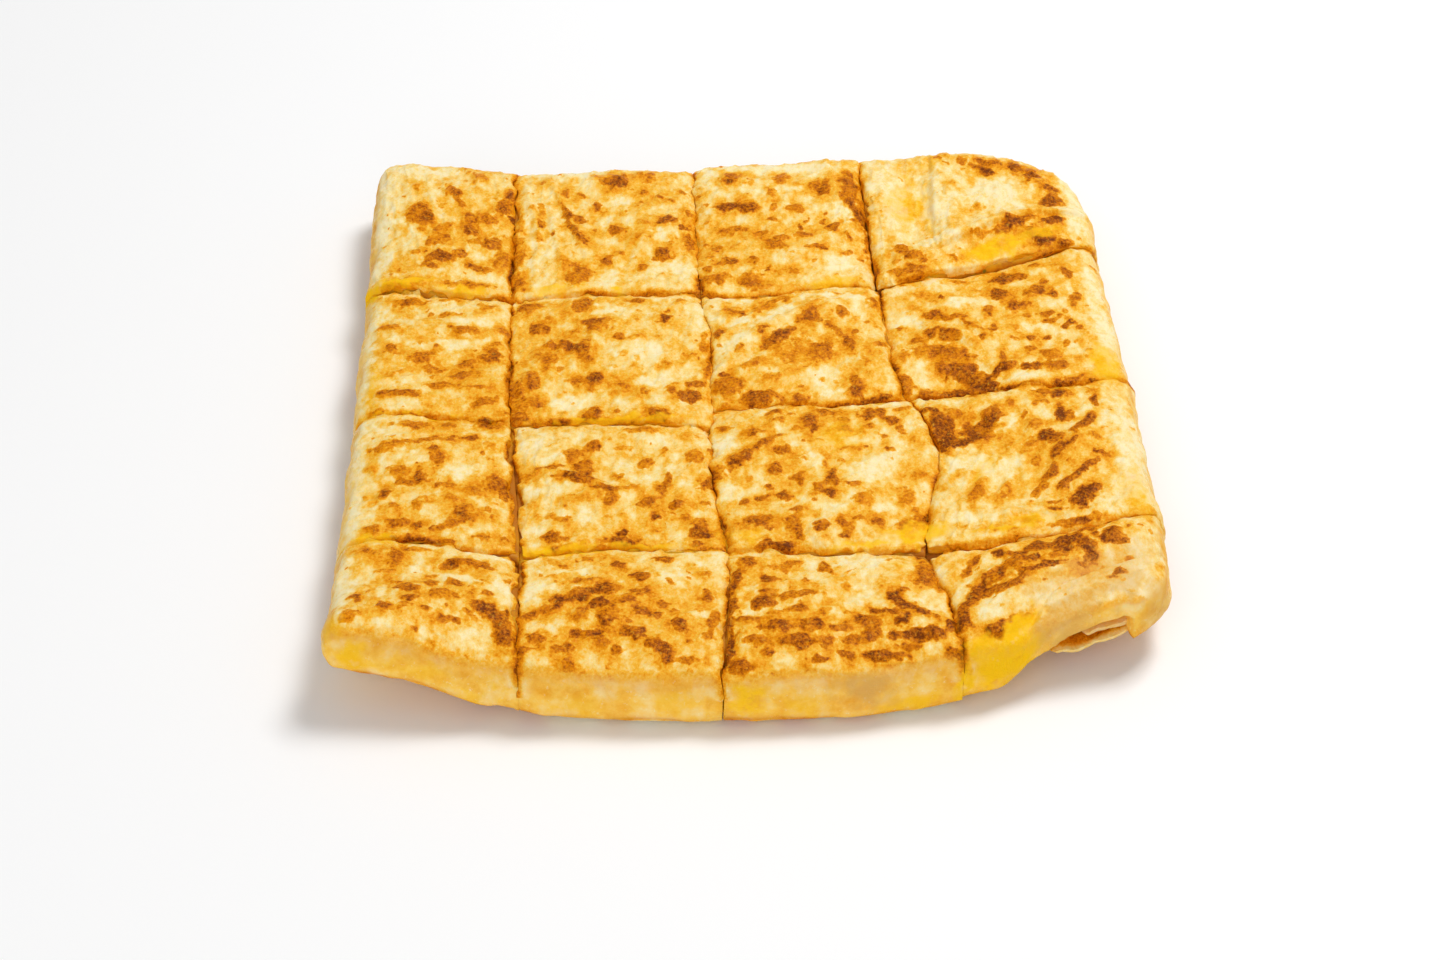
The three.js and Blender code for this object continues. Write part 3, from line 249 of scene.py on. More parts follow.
        (76, -57.6, 3, 2.2, 80, .86), (78, -63, 9, 2.2, 6, .76), (59, -45, 6, 4, 40, .34),
        (57, -50, 9, 7, 60, .36), (65, -48, 4, 8, -20, .34), (70, -61, 6, 4, 0, .52),
        (63, -64, 11, 2.6, 0, .5), (84, -62, 6, 2, 20, .5), (75, -22, 6, 5, 60, .5), (79, -7, 6, 3, 0, .5),
        (91, -7, 4, 4, 0, .35), (89, -29, 4, 3, 60, .4), (64, -36, 5, 3, 60, .3), (70, -12, 4, 3, 0, .4),
        (74, -37, 5, 3, 60, .4), (92, -26, 3, 2, 0, .4), (55, -39, 5, 3, 0, .25), (68, -30, 3, 4, 0, .3),
    ],
    "r4c1": [
        (-88, -72, 9, 4, 84, .52), (-70, -72.6, 13, 3.6, -4, .7), (-75, -74, 5, 2.6, 0, .66),
        (-66, -75, 6, 2.6, -10, .7), (-90, -77, 6, 3, 10, .42), (-79, -78, 4.4, 2.2, 0, .46),
        (-87, -82, 4.6, 3, 0, .52), (-84, -85.4, 8.4, 5.6, 8, .8), (-79, -82, 5.6, 4, -10, .6),
        (-73, -81.4, 5, 3.4, -40, .62), (-83, -90, 5.6, 3, 10, .8), (-76, -88, 8, 4.6, -6, .52),
        (-97, -89, 4.4, 3, 0, .6), (-93, -87, 2.4, 2, 0, .42), (-97, -97, 6.6, 5, 0, .56),
        (-89.4, -94, 4.6, 3.6, 0, .76), (-79, -93.6, 4.6, 2.4, -10, .56), (-74, -96, 7, 3, -6, .66),
        (-85, -93.4, 5, 3, 0, .46), (-66, -90, 8.6, 3.6, -12, .75), (-63, -93, 9, 5, -30, .86),
        (-61, -99, 10, 4.6, -72, .8), (-69, -93.6, 7, 2.6, -30, .6), (-83, -67.6, 8, 3, 0, .5),
        (-92, -70, 4, 3, 0, .35), (-66, -80, 4, 2, -20, .35), (-94, -84, 4, 2, 0, .3),
        (-70, -86, 5, 3, -20, .4),
    ],
    "r4c2": [
        (-47, -72, 3.4, 2.8, 0, .62), (-41, -69.4, 3.4, 2.2, 0, .62), (-33, -72.6, 3.6, 2.8, 0, .66),
        (-22.4, -70, 5.6, 3, -4, .8), (-37, -69, 2.4, 1.8, 0, .42), (-16.4, -78, 2, 1.6, 0, .42),
        (-50, -76, 3, 2.4, 0, .34), (-40.6, -78.4, 5.6, 2.8, 8, .62), (-28, -76.6, 6.6, 4, -10, .8),
        (-42, -83, 13, 4.6, 22, .72), (-36.6, -82, 6.4, 4.6, 0, .66), (-47, -87, 10, 4, 26, .66),
        (-38, -87, 6, 5, 0, .92), (-36, -91.6, 7.4, 5.6, 60, .68), (-42, -91, 6, 4.6, 30, .56),
        (-51, -88.4, 8, 2.8, 30, .52), (-56, -91, 6.6, 4, 14, .56), (-28, -83.4, 4.4, 4, 0, .76),
        (-31.4, -86, 5, 4, 0, .62), (-23, -87.6, 3.6, 2.4, -10, .66), (-28, -89.6, 4.6, 3, -40, .72),
        (-25, -91.4, 3.6, 2.4, 0, .7), (-12, -84, 5, 4, 80, .66), (-11, -93, 10, 3, 88, .62),
        (-42, -97.4, 7.6, 3.4, 10, .8), (-44.6, -97, 2, 1.4, 0, 1), (-53, -99, 4.4, 3, 0, .7),
        (-55, -102.6, 9, 1.8, 8, .5), (-47, -102, 6.6, 4, 10, .66), (-38, -100, 6.6, 5, -30, .56),
        (-30, -98, 8.6, 4, -18, .76), (-25, -101.4, 8, 4, -36, .82), (-22, -104.6, 6, 4, 90, .7),
        (-18.6, -95.6, 5.6, 4, -60, .76), (-13, -98.4, 4.6, 3, 60, .52), (-17, -106.4, 8, 2.6, -6, .5),
        (-46, -106.6, 5, 4, 0, .5), (-34, -103, 4, 3, 0, .6), (-52, -94, 4, 3, 0, .3),
        (-31, -94, 4, 2.5, -30, .5), (-15, -89, 3, 2, 0, .4), (-45, -79.6, 4, 2, 20, .4),
        (-18, -74, 2, 2, 0, .35), (-12, -76, 3, 3, 0, .4),
    ],
    "r4c3": [
        (-2, -72, 7, 5, 62, .76), (-5, -79, 10, 3.4, 74, .9), (-6.4, -88, 7, 3, 84, .75),
        (-7, -95, 6, 3.6, 80, .9), (-8, -103, 14, 2.4, 82, .95), (10, -72.6, 3.6, 3, 0, .6),
        (17.4, -74.4, 8, 3.4, -76, .72), (3.6, -79, 5.6, 3.6, -20, .72), (6, -74, 5, 4, 0, .46),
        (12, -80, 3.4, 2, 80, .56), (1.4, -88, 6.6, 5.6, 0, .8), (10, -86, 9, 3.6, 4, .72),
        (10, -91, 5, 4, 0, .62), (5, -92, 6, 3, 0, .52), (3, -84, 5, 2.6, 0, .62), (22, -83, 6, 3, 80, .4),
        (33.6, -88, 7, 3.6, -54, .92), (31.6, -92.6, 10, 3.4, -20, .85), (34.6, -96, 4.4, 3, 0, 1),
        (38.4, -91.4, 9, 3.4, -40, .8), (42, -95, 5, 3.4, -40, .52), (-3, -94, 6.6, 3, 0, .62),
        (5, -97, 10, 4.6, 0, .72), (13, -97, 8, 5, 0, .75), (20, -98, 6.6, 3, 10, .62),
        (26, -95.4, 9, 4.6, 12, .76), (-1, -101, 8.6, 3.6, 0, .72), (8, -101.6, 8.6, 4.6, 0, .8),
        (15, -102, 6.6, 3.6, 0, .62), (22, -101.6, 6.6, 3.6, 8, .62), (27, -100, 6, 4, 30, .66),
        (33, -100.4, 5, 3, 0, .8), (40, -101, 10.4, 4.4, 4, .95), (46, -98.6, 6, 4, 60, .9),
        (28, -106, 7, 3.4, -8, .9), (33, -106.6, 5, 2.6, 0, .82), (13, -107, 4.6, 3, 0, .85),
        (20, -105.6, 3.6, 2.2, 0, .72), (-5, -108, 6.6, 5, 0, .82), (-8, -104, 4, 3, 0, .7),
        (46.6, -106, 6, 2.2, -20, .85), (42, -78, 10, 8, 80, .66), (45, -83, 6, 3.6, -60, .7),
        (39.4, -80.6, 4, 3, 0, .62), (41.6, -71, 7, 3, -30, 1), (43, -69, 5, 2, 42, 1),
        (30, -84, 4, 3, 0, .35), (16, -92, 4, 3, 0, .5), (36, -104, 6, 3, 0, .6), (2, -105, 6, 3, 0, .6),
        (25, -78, 5, 2, 60, .3), (31, -76, 3, 3, 0, .3), (36, -85, 4, 2, 0, .5),
    ],
    "r4c4": [
        (53, -76, 9, 2.8, 58, .8), (52, -79, 4, 2.6, 0, .62), (60, -72.6, 3.6, 2.8, -20, 1),
        (63.4, -74, 6, 3, -24, .8), (70, -72.6, 9, 5, 20, .8), (63.4, -78, 9, 5.4, 46, .8),
        (57.4, -82, 9, 4.6, 46, .8), (53, -87, 7, 4.6, 58, .86), (50, -93, 9, 4, 62, .76),
        (48.6, -98, 5, 4, 0, .9), (58, -87, 7, 3.6, 10, .8), (63, -86, 5.6, 3.6, 20, .72),
        (68, -78, 4.4, 3, 10, 1), (71.4, -81, 10, 2.8, 16, .95), (66, -82, 5, 3, 10, .7),
        (74, -77, 5, 3, 30, .6), (77.6, -71, 8.6, 5, 24, .95), (76, -74.4, 6, 2.6, 10, .8),
        (82, -74, 6.6, 5, 40, .9), (80, -67.4, 9, 2.4, 20, .7), (88, -70, 7.4, 6, 10, 1),
        (86, -66.4, 6, 2.6, 30, .72), (90.4, -73, 4, 3, 0, .9), (82, -78, 5.6, 3.6, 70, .85),
        (79, -80.6, 3.6, 2.4, 0, .8), (88.4, -85.4, 4, 2.6, 20, .8), (86, -87, 3, 2, 0, .5),
        (58, -100, 7, 3.6, 16, .92), (61.6, -98, 4, 2.4, 20, .72), (65, -97, 2.4, 2, 0, .6),
        (52, -104.4, 9, 1.8, 40, .5), (73, -67.6, 8, 2, 12, .6), (84, -82, 3, 2, 40, .4),
        (76, -84, 5, 2, 20, .3), (91, -78, 3, 2, 0, .4), (55, -78, 3, 2, 0, .4),
    ],
}

# Where the dough stays pale because it stood clear of the griddle: x, y, length, width, turn.
PALE_PLACES = {
    "r1c1": [(-99, 78, 70, 9, 90), (-90, 104, 26, 9, 0)],
    "r1c2": [
        (-45, 105, 34, 8, 0), (-36, 50, 12, 8, 60), (-33, 88, 8, 6, 0), (-20, 70, 9, 5, 20),
        (-18, 56, 12, 8, 0),
    ],
    "r1c3": [(12, 104, 50, 6, 0), (29, 57, 13, 8, 35), (18, 92, 7, 5, 0), (31.6, 80, 14, 3, -65)],
    "r1c4": [
        (47, 84, 34, 10, 88), (59, 84, 34, 8, 90), (74, 84, 26, 20, 10), (57, 64, 20, 5, 10),
        (97, 78, 60, 7, 86),
    ],
    "r2c1": [(-101, 18, 60, 7, 90), (-80, 20, 26, 3.6, 6), (-72, 30, 14, 3, 0)],
    "r2c2": [(-33, 36, 12, 6, 0), (-25, 15, 12, 14, 0), (-47, -6, 10, 6, 0), (-24, 3, 8, 5, 0)],
    "r2c3": [
        (-3, 17, 16, 6, 44), (10, 31, 20, 4, 38), (27, 40, 18, 5, -12), (22, 3, 12, 8, 0),
        (2, 30, 8, 5, 30),
    ],
    "r2c4": [
        (46, 30, 10, 7, 60), (60, 25.6, 8, 3, -26), (62, 35, 12, 6, 0), (98, 30, 50, 6, 92),
        (75, 0, 10, 4, 6), (80, 22, 10, 4, 0),
    ],
    "r3c1": [(-101, -38, 60, 7, 90), (-84, -31, 10, 4, 0), (-74, -36, 12, 5, 0)],
    "r3c2": [
        (-54, -24, 12, 12, 0), (-20, -36, 8, 8, 0), (-54, -42, 12, 5, 0), (-43, -53, 12, 6, 0),
        (-25, -21, 14, 4, 0),
    ],
    "r3c3": [
        (-6, -24, 8, 8, 30), (-6, -44, 8, 6, 0), (30, -38, 16, 8, 40), (36, -34, 14, 6, 60),
        (17, -33, 6, 4, 0), (33, -52, 5, 8, 60),
    ],
    "r3c4": [
        (55, -36, 14, 7, 20), (65, -40, 18, 8, 60), (98, -32, 60, 8, 92), (71, -50, 10, 4, 60),
        (56, -58, 12, 6, 0), (68, -20, 9, 4, 70),
    ],
    "r4c1": [(-101, -84, 40, 6, 90), (-72, -79, 16, 3, -20), (-62, -82, 10, 5, 80)],
    "r4c2": [
        (-55, -82, 12, 8, 60), (-52, -95, 9, 4, 10), (-20, -78, 10, 5, 0), (-14, -90, 6, 5, 0),
        (-47, -74, 14, 3, 0),
    ],
    "r4c3": [
        (14, -73, 6, 5, 80), (-2, -89, 6, 2.6, -60), (26, -74, 16, 7, 0), (24, -88, 10, 7, 30),
        (18, -93, 5, 5, 0), (40, -90, 8, 4, -50),
    ],
    "r4c4": [
        (55, -79, 14, 4, 60), (57, -93, 12, 7, 50), (72, -92, 18, 9, 20), (94, -80, 30, 8, 80),
        (88, -96, 24, 12, 50), (49, -88, 12, 3, 70),
    ],
}

# Places where the egg shows yellow through the dough, or bare, and one of painted warm shade: x, y, length,
# width, turn, strength.
YELLOW_PLACES = [
    (50.4, 84.5, 30, 9, 84, .5), (73, 60, 19, 9, 20, 1), (86, 65, 20, 4, 14, .6), (46, 83, 12, 4, 80, .4),
    (-92, 48.6, 18, 3.4, 0, .8), (-76, 45.6, 20, 2.4, -3, .7), (-101, 47.5, 7, 6, 0, 1),
    (-50, 47, 16, 4, 8, .8), (-33, 46.5, 4, 3, 0, .9), (28, 48, 18, 4, 10, .6), (97, 5, 18, 9, 90, .7),
    (-96, -63.5, 16, 4, 0, .7), (-48, -65, 24, 3.6, 4, .9), (-27, -64.4, 22, 3, -2, .7),
    # The place at 56.4, 84 paints warm yellow on the shaded left wall of the raised pale block at the back
    # right, as painted shade.
    (-34, -12.6, 42, 2.2, 0, .7), (-84, -11, 34, 1.8, 0, .5), (56.4, 84, 28, 3.6, 88, .4),
    (40, -62, 22, 7, 12, .9), (28, -65.6, 22, 2.6, 6, .9), (62, -63.6, 18, 3, 8, .7),
    (70, -60.6, 12, 4, 0, .55), (24, -22, 14, 9, 30, .35), (97, -52, 22, 9, 92, .4),
    (-3, -62, 14, 4, 0, .4), (62, -101, 20, 6, 42, .9), (54, -104, 14, 6, 10, .8),
    (60, -38, 14, 5, 60, .35), (-98, 3, 20, 5, 90, .35), (-99, -40, 12, 5, 90, .3),
    (45, 106, 9, 4, -10, .3), (58, 103, 12, 4, 0, .35), (36, -75, 8, 5, 0, .25), (-101, -98, 8, 6, 0, .4),
]

# The same on the front side, as x and height, length along x, width, turn and strength.
FRONT_YELLOW = [
    (-97, 15, 9, 7, 15, .8), (-82, 12, 14, 6, 0, .4), (-70, 8, 12, 6, 0, .35), (-44, 6, 16, 7, 0, .3),
    (-20, 8, 12, 6, 0, .35), (-3, 9, 13, 10, 30, .9), (9, 6, 10, 7, 0, .5), (36, 5, 15, 6, 6, .8),
    (49, 9, 5, 16, 0, .95), (57, 11, 14, 13, 24, 1), (62, 11, 12, 12, 50, 1), (66, 15.5, 9, 5, 30, 1),
    (-64, 12, 4, 9, 0, .4),
]
FRONT_GREY = [(25, 10.5, 11, 12, 0, .8), (18, 12, 6, 6, 0, .4), (31, 9, 6, 8, 0, .4)]

# Where the dough is smooth and tan, folded down over the front right corner, the tan also painted shade on
# the flap: x, y, length, width, turn, strength.
TAN_PLACES = [
    (82, -84, 44, 16, 28, .4), (75, -97, 22, 9, 36, .6), (88, -89, 18, 10, 40, .55),
    (97, -90, 10, 14, 80, .4),
]

# Whitish loose skin along the right edge, where the sides keep the pale colour of the top.
WHITISH_PLACES = [
    (102, -24, 46, 8, 92, .9), (101, 25, 30, 6, 92, .5), (103, -50, 14, 6, 95, .3),
    (80, 88, 24, 14, 10, .5),
]

# Swellings and hollows: x, y, length, width, turn, height, and how much of the middle is flat.
SWELLS = [
    (51.6, 84, 34, 10, 84, -0.6, .45), (61.6, 83.5, 34, 10, 92, 1.0, .5), (76, 84, 22, 12, 10, 0.8, .4),
    (52, 58, 14, 5, 10, 0.6, .4), (79, 63, 44, 14, 13, -1.2, .5), (14, 14, 30, 22, 40, 1.1, .45),
    (60, 2, 26, 9, 4, -0.8, .4), (74.6, -3, 13, 4.6, 5, 0.9, .5), (55, -22, 20, 11, 20, -1.2, .5),
    (17, -61.5, 7, 10, 0, 1.0, .65), (-40, -35, 16, 6, -22, -0.7, .4), (84, -36, 26, 12, 62, 0.6, .4),
    (97, -38, 44, 7, 94, 0.9, .4), (-36, 25, 20, 8, 60, 0.5, .4), (-36, 98, 12, 10, 0, 0.5, .4),
    (-20, 70, 22, 18, 0, 0.5, .4), (16, 85, 26, 14, 0, 0.5, .4), (-82, 92, 20, 14, 0, 0.5, .4),
    (-86, 26, 26, 8, 4, 0.6, .4), (-84, -28, 26, 8, 4, 0.6, .4), (66, -90, 30, 10, 42, 0.8, .4),
    (-38, -90, 20, 12, 20, 0.5, .4), (12, -84, 20, 10, 0, 0.4, .4), (38, -95, 22, 8, -38, 0.7, .4),
    (-73, -86, 20, 10, -12, 0.4, .4), (-78, 8, 22, 6, 10, -0.5, .4), (-30, -20, 26, 8, 0, 0.4, .4),
    (30, -38, 22, 10, 30, 0.5, .4), (24, -84, 14, 8, 20, -0.4, .4), (60, 35, 16, 7, 0, 0.5, .4),
]

# Creases of the skin: the line, half its width, and its height, with a minus where it is a groove.
CREASES = [
    (((-7.5, 3), (-0.7, 17.3), (7.5, 26.2), (15.6, 31.3), (23.6, 35.1), (33, 38.6), (38, 36)), 2.6, 0.75),
    (((36.6, 30), (39, 15), (41.9, 1)), 2.2, 0.35),
    (((51.2, 26), (57.1, 21.8), (63.5, 16.3)), 1.3, 0.7),
    (((50.8, 30.1), (59.8, 25.7), (65.1, 17)), 0.9, -0.45),
    (((46.7, 19.6), (52, 20.4), (57, 17.4), (61.4, 14.4)), 0.9, -0.4),
    (((69, 4), (77, 4.4), (83, 2)), 1.0, -0.5),
    (((64, -58), (66.6, -55.8), (72, -57.4), (79, -60.4)), 1.1, 0.8),
    (((59, 62.6), (66.4, 66.4), (76, 71.6), (86, 75), (98, 74)), 1.2, 0.5),
    (((47, 62), (54.8, 58), (61, 61)), 1.3, 0.6),
    (((-53, 102), (-49.5, 92), (-44.5, 76), (-42, 64)), 1.1, 0.7),
    (((-58.6, 96), (-56, 80), (-54.6, 66), (-56, 52)), 1.2, 0.55),
    (((-51.6, 86), (-49.6, 70), (-48, 56)), 1.0, 0.5),
    (((-54, -34.6), (-47, -35.6), (-40, -39.4), (-33, -44.6)), 0.9, 0.5),
    (((-99, -26), (-86, -20.6), (-70, -19), (-63, -20)), 1.0, 0.35),
    (((-98, 4), (-84, 5.6), (-70, 3), (-62, 3.6)), 1.0, 0.3),
    (((-96, 31), (-84, 29.6), (-72, 32)), 1.0, 0.3),
    (((-98, -49), (-86, -46), (-74, -47.6), (-63, -46)), 0.9, 0.3),
    (((-76, -71), (-68, -75), (-61.6, -80)), 0.9, 0.45),
    (((-58, -87), (-50, -85.6), (-44, -80.6), (-36, -78)), 1.0, 0.35),
    (((20, -90), (30, -86), (37, -87), (46, -97)), 1.0, 0.4),
    (((-9, -70), (-4, -80), (-6, -92)), 0.9, 0.3),
    (((50, -86), (56, -80), (64, -76), (72, -76.6)), 1.0, 0.45),
    (((13, -57), (13.6, -67)), 0.8, 0.4),
    (((20.4, -57), (20.6, -67)), 0.8, 0.4),
    (((66, -20), (71, -32), (70, -44)), 1.1, 0.35),
    (((-30, 40), (-20, 36), (-12, 39)), 1.0, 0.25),
]

# Steps: the line, how far the step reaches, and by how much the left of the line lies higher, or with a
# minus lower.
STEPS = [
    (((57, 67), (57.4, 84), (58.6, 101)), 6, -0.8),
    (((18.6, 58.6), (24.4, 63), (31.8, 67.7), (35.7, 75), (34.4, 84.5), (30.2, 96), (30, 110)), 5, 0.9),
    (((50.5, -40), (49.6, -30), (48.6, -20), (46, -14)), 6, 0.8),
    (((60.3, -111), (64.5, -103), (68.2, -96), (71, -92), (76, -88), (82, -83.4), (90, -80), (99, -77)),
     5, -1.2),
    (((59, 61), (66.4, 65), (76, 70.4), (86, 73.8), (98, 73)), 6, 1.1),
    (((-36, -44), (-44, -40.4), (-52, -38)), 4, 0.4),
]

# The cuts from side to side: points of the line, and at places x by how much the edge behind lies higher.
ROW_CUTS = [
    (((-106, 49.5), (-85, 45.5), (-62, 43.5), (-40, 45.5), (-10, 44.5), (5, 43), (26, 47), (39, 47),
      (60, 51.5), (72, 55), (88, 59.5), (106, 61.5)),
     ((-104, 1.7), (-80, 1.4), (-62, 1.0), (-50, 1.3), (-30, 0.9), (-10, 0.8), (10, 0.5), (43, 0.7),
      (52, 1.1), (64, 0.9), (80, 0.3), (100, 0.0))),
    (((-106, -11), (-85, -10.5), (-62, -12.5), (-40, -12.5), (-9, -15)),
     ((-104, 0.4), (-80, 0.6), (-62, 0.4), (-50, 0.8), (-30, 0.7), (-9, 0.7))),
    (((-9, -7.5), (25, -7), (46, -4.5), (80, -4), (106, 0)),
     ((-9, 0.2), (25, 0.4), (43, 0.4), (60, 0.8), (80, 0.8), (100, 0.3))),
    (((-106, -64.5), (-85, -63), (-60, -67), (-38, -64), (-9, -66), (18, -67.5), (42, -68.5),
      (70, -66.5), (106, -59.5)),
     ((-104, 1.0), (-80, 0.7), (-62, 0.8), (-40, 1.2), (-12, 0.8), (15, 0.7), (30, 1.4), (43, 1.7),
      (60, 1.2), (80, 0.6), (100, 0.2))),
]

# Height of the lower edge of the flap at the front right, at places x.
FLAP_EDGE = [(56, 2), (62, 6), (67, 9), (72, 11.5), (77, 13.2), (82, 14.4), (90, 16)]

# Thin layers of dough under the flap: points x, y and z of the front edge, thickness, browning, and share
# of the tan of damp dough.
LAYERS = [
    (((70.5, -95.6, 6.0), (73.4, -96, 7.9), (78, -94.8, 6.8),
      (82, -94, 8), (87.4, -93, 9.8), (93, -91.4, 11.4)),
     1.1, 0.14, 0),
    (((73, -91.5, 8.4), (80, -90.6, 9.3), (86, -89.6, 10.4), (93, -88.6, 11.6)), 0.9, 0.5, 0.3),
    (((78.4, -93.2, 10.2), (82, -92.8, 11.5), (87, -92, 12.1), (93, -90.4, 13)), 1.2, 0.05, 0.4),
]

# Where the cuts stand open: x, y, length, width, turn, and how much of the closing is left out there.
OPEN_PLACES = [
    (-62, 84, 16, 7, 90, .7), (-62, 58, 22, 6, 90, .25), (-62, 6, 26, 6, 90, .2),
    (-60, -38, 56, 7, 90, .85), (-59, -66, 16, 9, 90, .8), (-58, -82, 26, 7, 90, .7),
    (-10, 80, 16, 6, 90, .15), (-10, 45, 10, 9, 0, .4), (-8, -99, 26, 6, 90, .65),
    (38.5, 80, 44, 6, 90, .3), (40, 47, 10, 9, 0, .4), (42.3, -69, 10, 9, 0, .85),
    (-85, 46, 40, 6, -8, .15), (83, 60, 20, 6, 14, .35), (-40, -64, 30, 6, 3, .2), (28, -67, 24, 6, 0, .2),
]

# The direction in degrees of the fine wrinkles of each square.
WRINKLE_TURN = {
    "r1c1": 95, "r1c2": 75, "r1c3": 60, "r1c4": 88, "r2c1": 4, "r2c2": 70, "r2c3": 40, "r2c4": 10,
    "r3c1": 6, "r3c2": 80, "r3c3": 35, "r3c4": 60, "r4c1": -14, "r4c2": 20, "r4c3": 5, "r4c4": 45,
}


# ---------- plain helpers ----------


def linear(hex_colour):
    """The linear red, green and blue of an sRGB colour such as #fae6b4."""
    channels = [int(hex_colour[i:i + 2], 16) / 255 for i in (1, 3, 5)]
    return [c / 12.92 if c <= 0.04045 else ((c + 0.055) / 1.055) ** 2.4 for c in channels]


def smoothstep(low, high, value):
    """Rises smoothly from 0 at low to 1 at high."""
    t = np.clip((value - low) / (high - low), 0, 1)
    return t * t * (3 - 2 * t)


def fade_out(distance, reach):
    """Falls smoothly from 1 at no distance, by about two thirds at the reach, to nothing."""
    return np.exp(-(distance / reach) ** 2)


def hashed(cell, seed):
    """An even random number from 0 to 1 for each whole-number place, always the same for one seed."""
    # Large odd numbers scatter places that lie side by side.
    whole = 0x7FFFFFFF
    stirred = cell[:, 0] * 73856093 ^ cell[:, 1] * 19349663 ^ cell[:, 2] * 83492791 ^ (seed + 1) * 668265263
    stirred = (stirred ^ (stirred >> 13)) & whole
    stirred = (stirred * 1274126177) & whole
    stirred = ((stirred ^ (stirred >> 15)) * 461845907) & whole
    return ((stirred >> 7) & 0xFFFF) / 0xFFFF


def lumps(place, size, seed):
    """Smooth random lumps of a size in mm, from -1 to 1, at each place in mm."""
    scaled = place / size
    cell = np.floor(scaled).astype(np.int64)
    inside = scaled - cell
    fade = inside ** 3 * (inside * (inside * 6 - 15) + 10)
    total = np.zeros(len(place))
    for corner in range(8):
        step = np.array([corner & 1, corner >> 1 & 1, corner >> 2 & 1])
        weight = np.prod(np.where(step == 1, fade, 1 - fade), axis=1)
        total += weight * hashed(cell + step, seed)
    return 2 * total - 1


def rough_lumps(place, size, octaves, seed):
    """Lumps with finer and finer lumps on them, from about -1 to 1."""
    total = np.zeros(len(place))
    for octave in range(octaves):
        total += lumps(place + 31.7 * octave, size / 2 ** octave, seed + octave) / 2 ** octave
    stretch = 1.5                        # lumps seldom come near -1 and 1
    return total / (2 - 0.5 ** (octaves - 1)) * stretch


def wander(place, size, seed):
    """Smooth random offsets in x and y, from -1 to 1, over lumps of a size in mm."""
    return np.stack([lumps(place, size, seed), lumps(place, size, seed + 1), np.zeros(len(place))], axis=1)


def turned(dx, dy, degrees):
    """Offsets along and across a direction."""
    cosine, sine = math.cos(math.radians(degrees)), math.sin(math.radians(degrees))
    return dx * cosine + dy * sine, dy * cosine - dx * sine


def away_from(x, y, spot):
    """How far places lie from a spot's middle, as a share of its own half length and half width."""
    along, across = turned(x - spot[0], y - spot[1], spot[4])
    return np.hypot(along / (spot[2] / 2), across / (spot[3] / 2))


def line_distance(x, y, points):
    """Distance from a line of points, and the same with a minus sign on the right of it."""
    nearest, signed = np.full(len(x), np.inf), np.zeros(len(x))
    for (x0, y0), (x1, y1) in zip(points, points[1:]):
        dx, dy = x1 - x0, y1 - y0
        share = np.clip(((x - x0) * dx + (y - y0) * dy) / (dx * dx + dy * dy), 0, 1)
        distance = np.hypot(x - x0 - share * dx, y - y0 - share * dy)
        left = np.sign(dx * (y - y0) - dy * (x - x0))
        closer = distance < nearest
        nearest = np.where(closer, distance, nearest)
        signed = np.where(closer, left * distance, signed)
    return nearest, signed


def smooth_line(points, where):
    """The height over each place of a smooth curve through a few points."""
    x, y = np.array(points, float).T
    last = len(x) - 1
    before, after = np.maximum(np.arange(last + 1) - 1, 0), np.minimum(np.arange(last + 1) + 1, last)
    slope = (y[after] - y[before]) / (x[after] - x[before])
    i = np.clip(np.searchsorted(x, where, "right") - 1, 0, last - 1)
    step = x[i + 1] - x[i]
    s = np.clip((where - x[i]) / step, 0, 1)
    return ((2 * s ** 3 - 3 * s ** 2 + 1) * y[i] + (s ** 3 - 2 * s ** 2 + s) * step * slope[i]
            + (3 * s ** 2 - 2 * s ** 3) * y[i + 1] + (s ** 3 - s ** 2) * step * slope[i + 1])


# ---------- the shape of the whole ----------

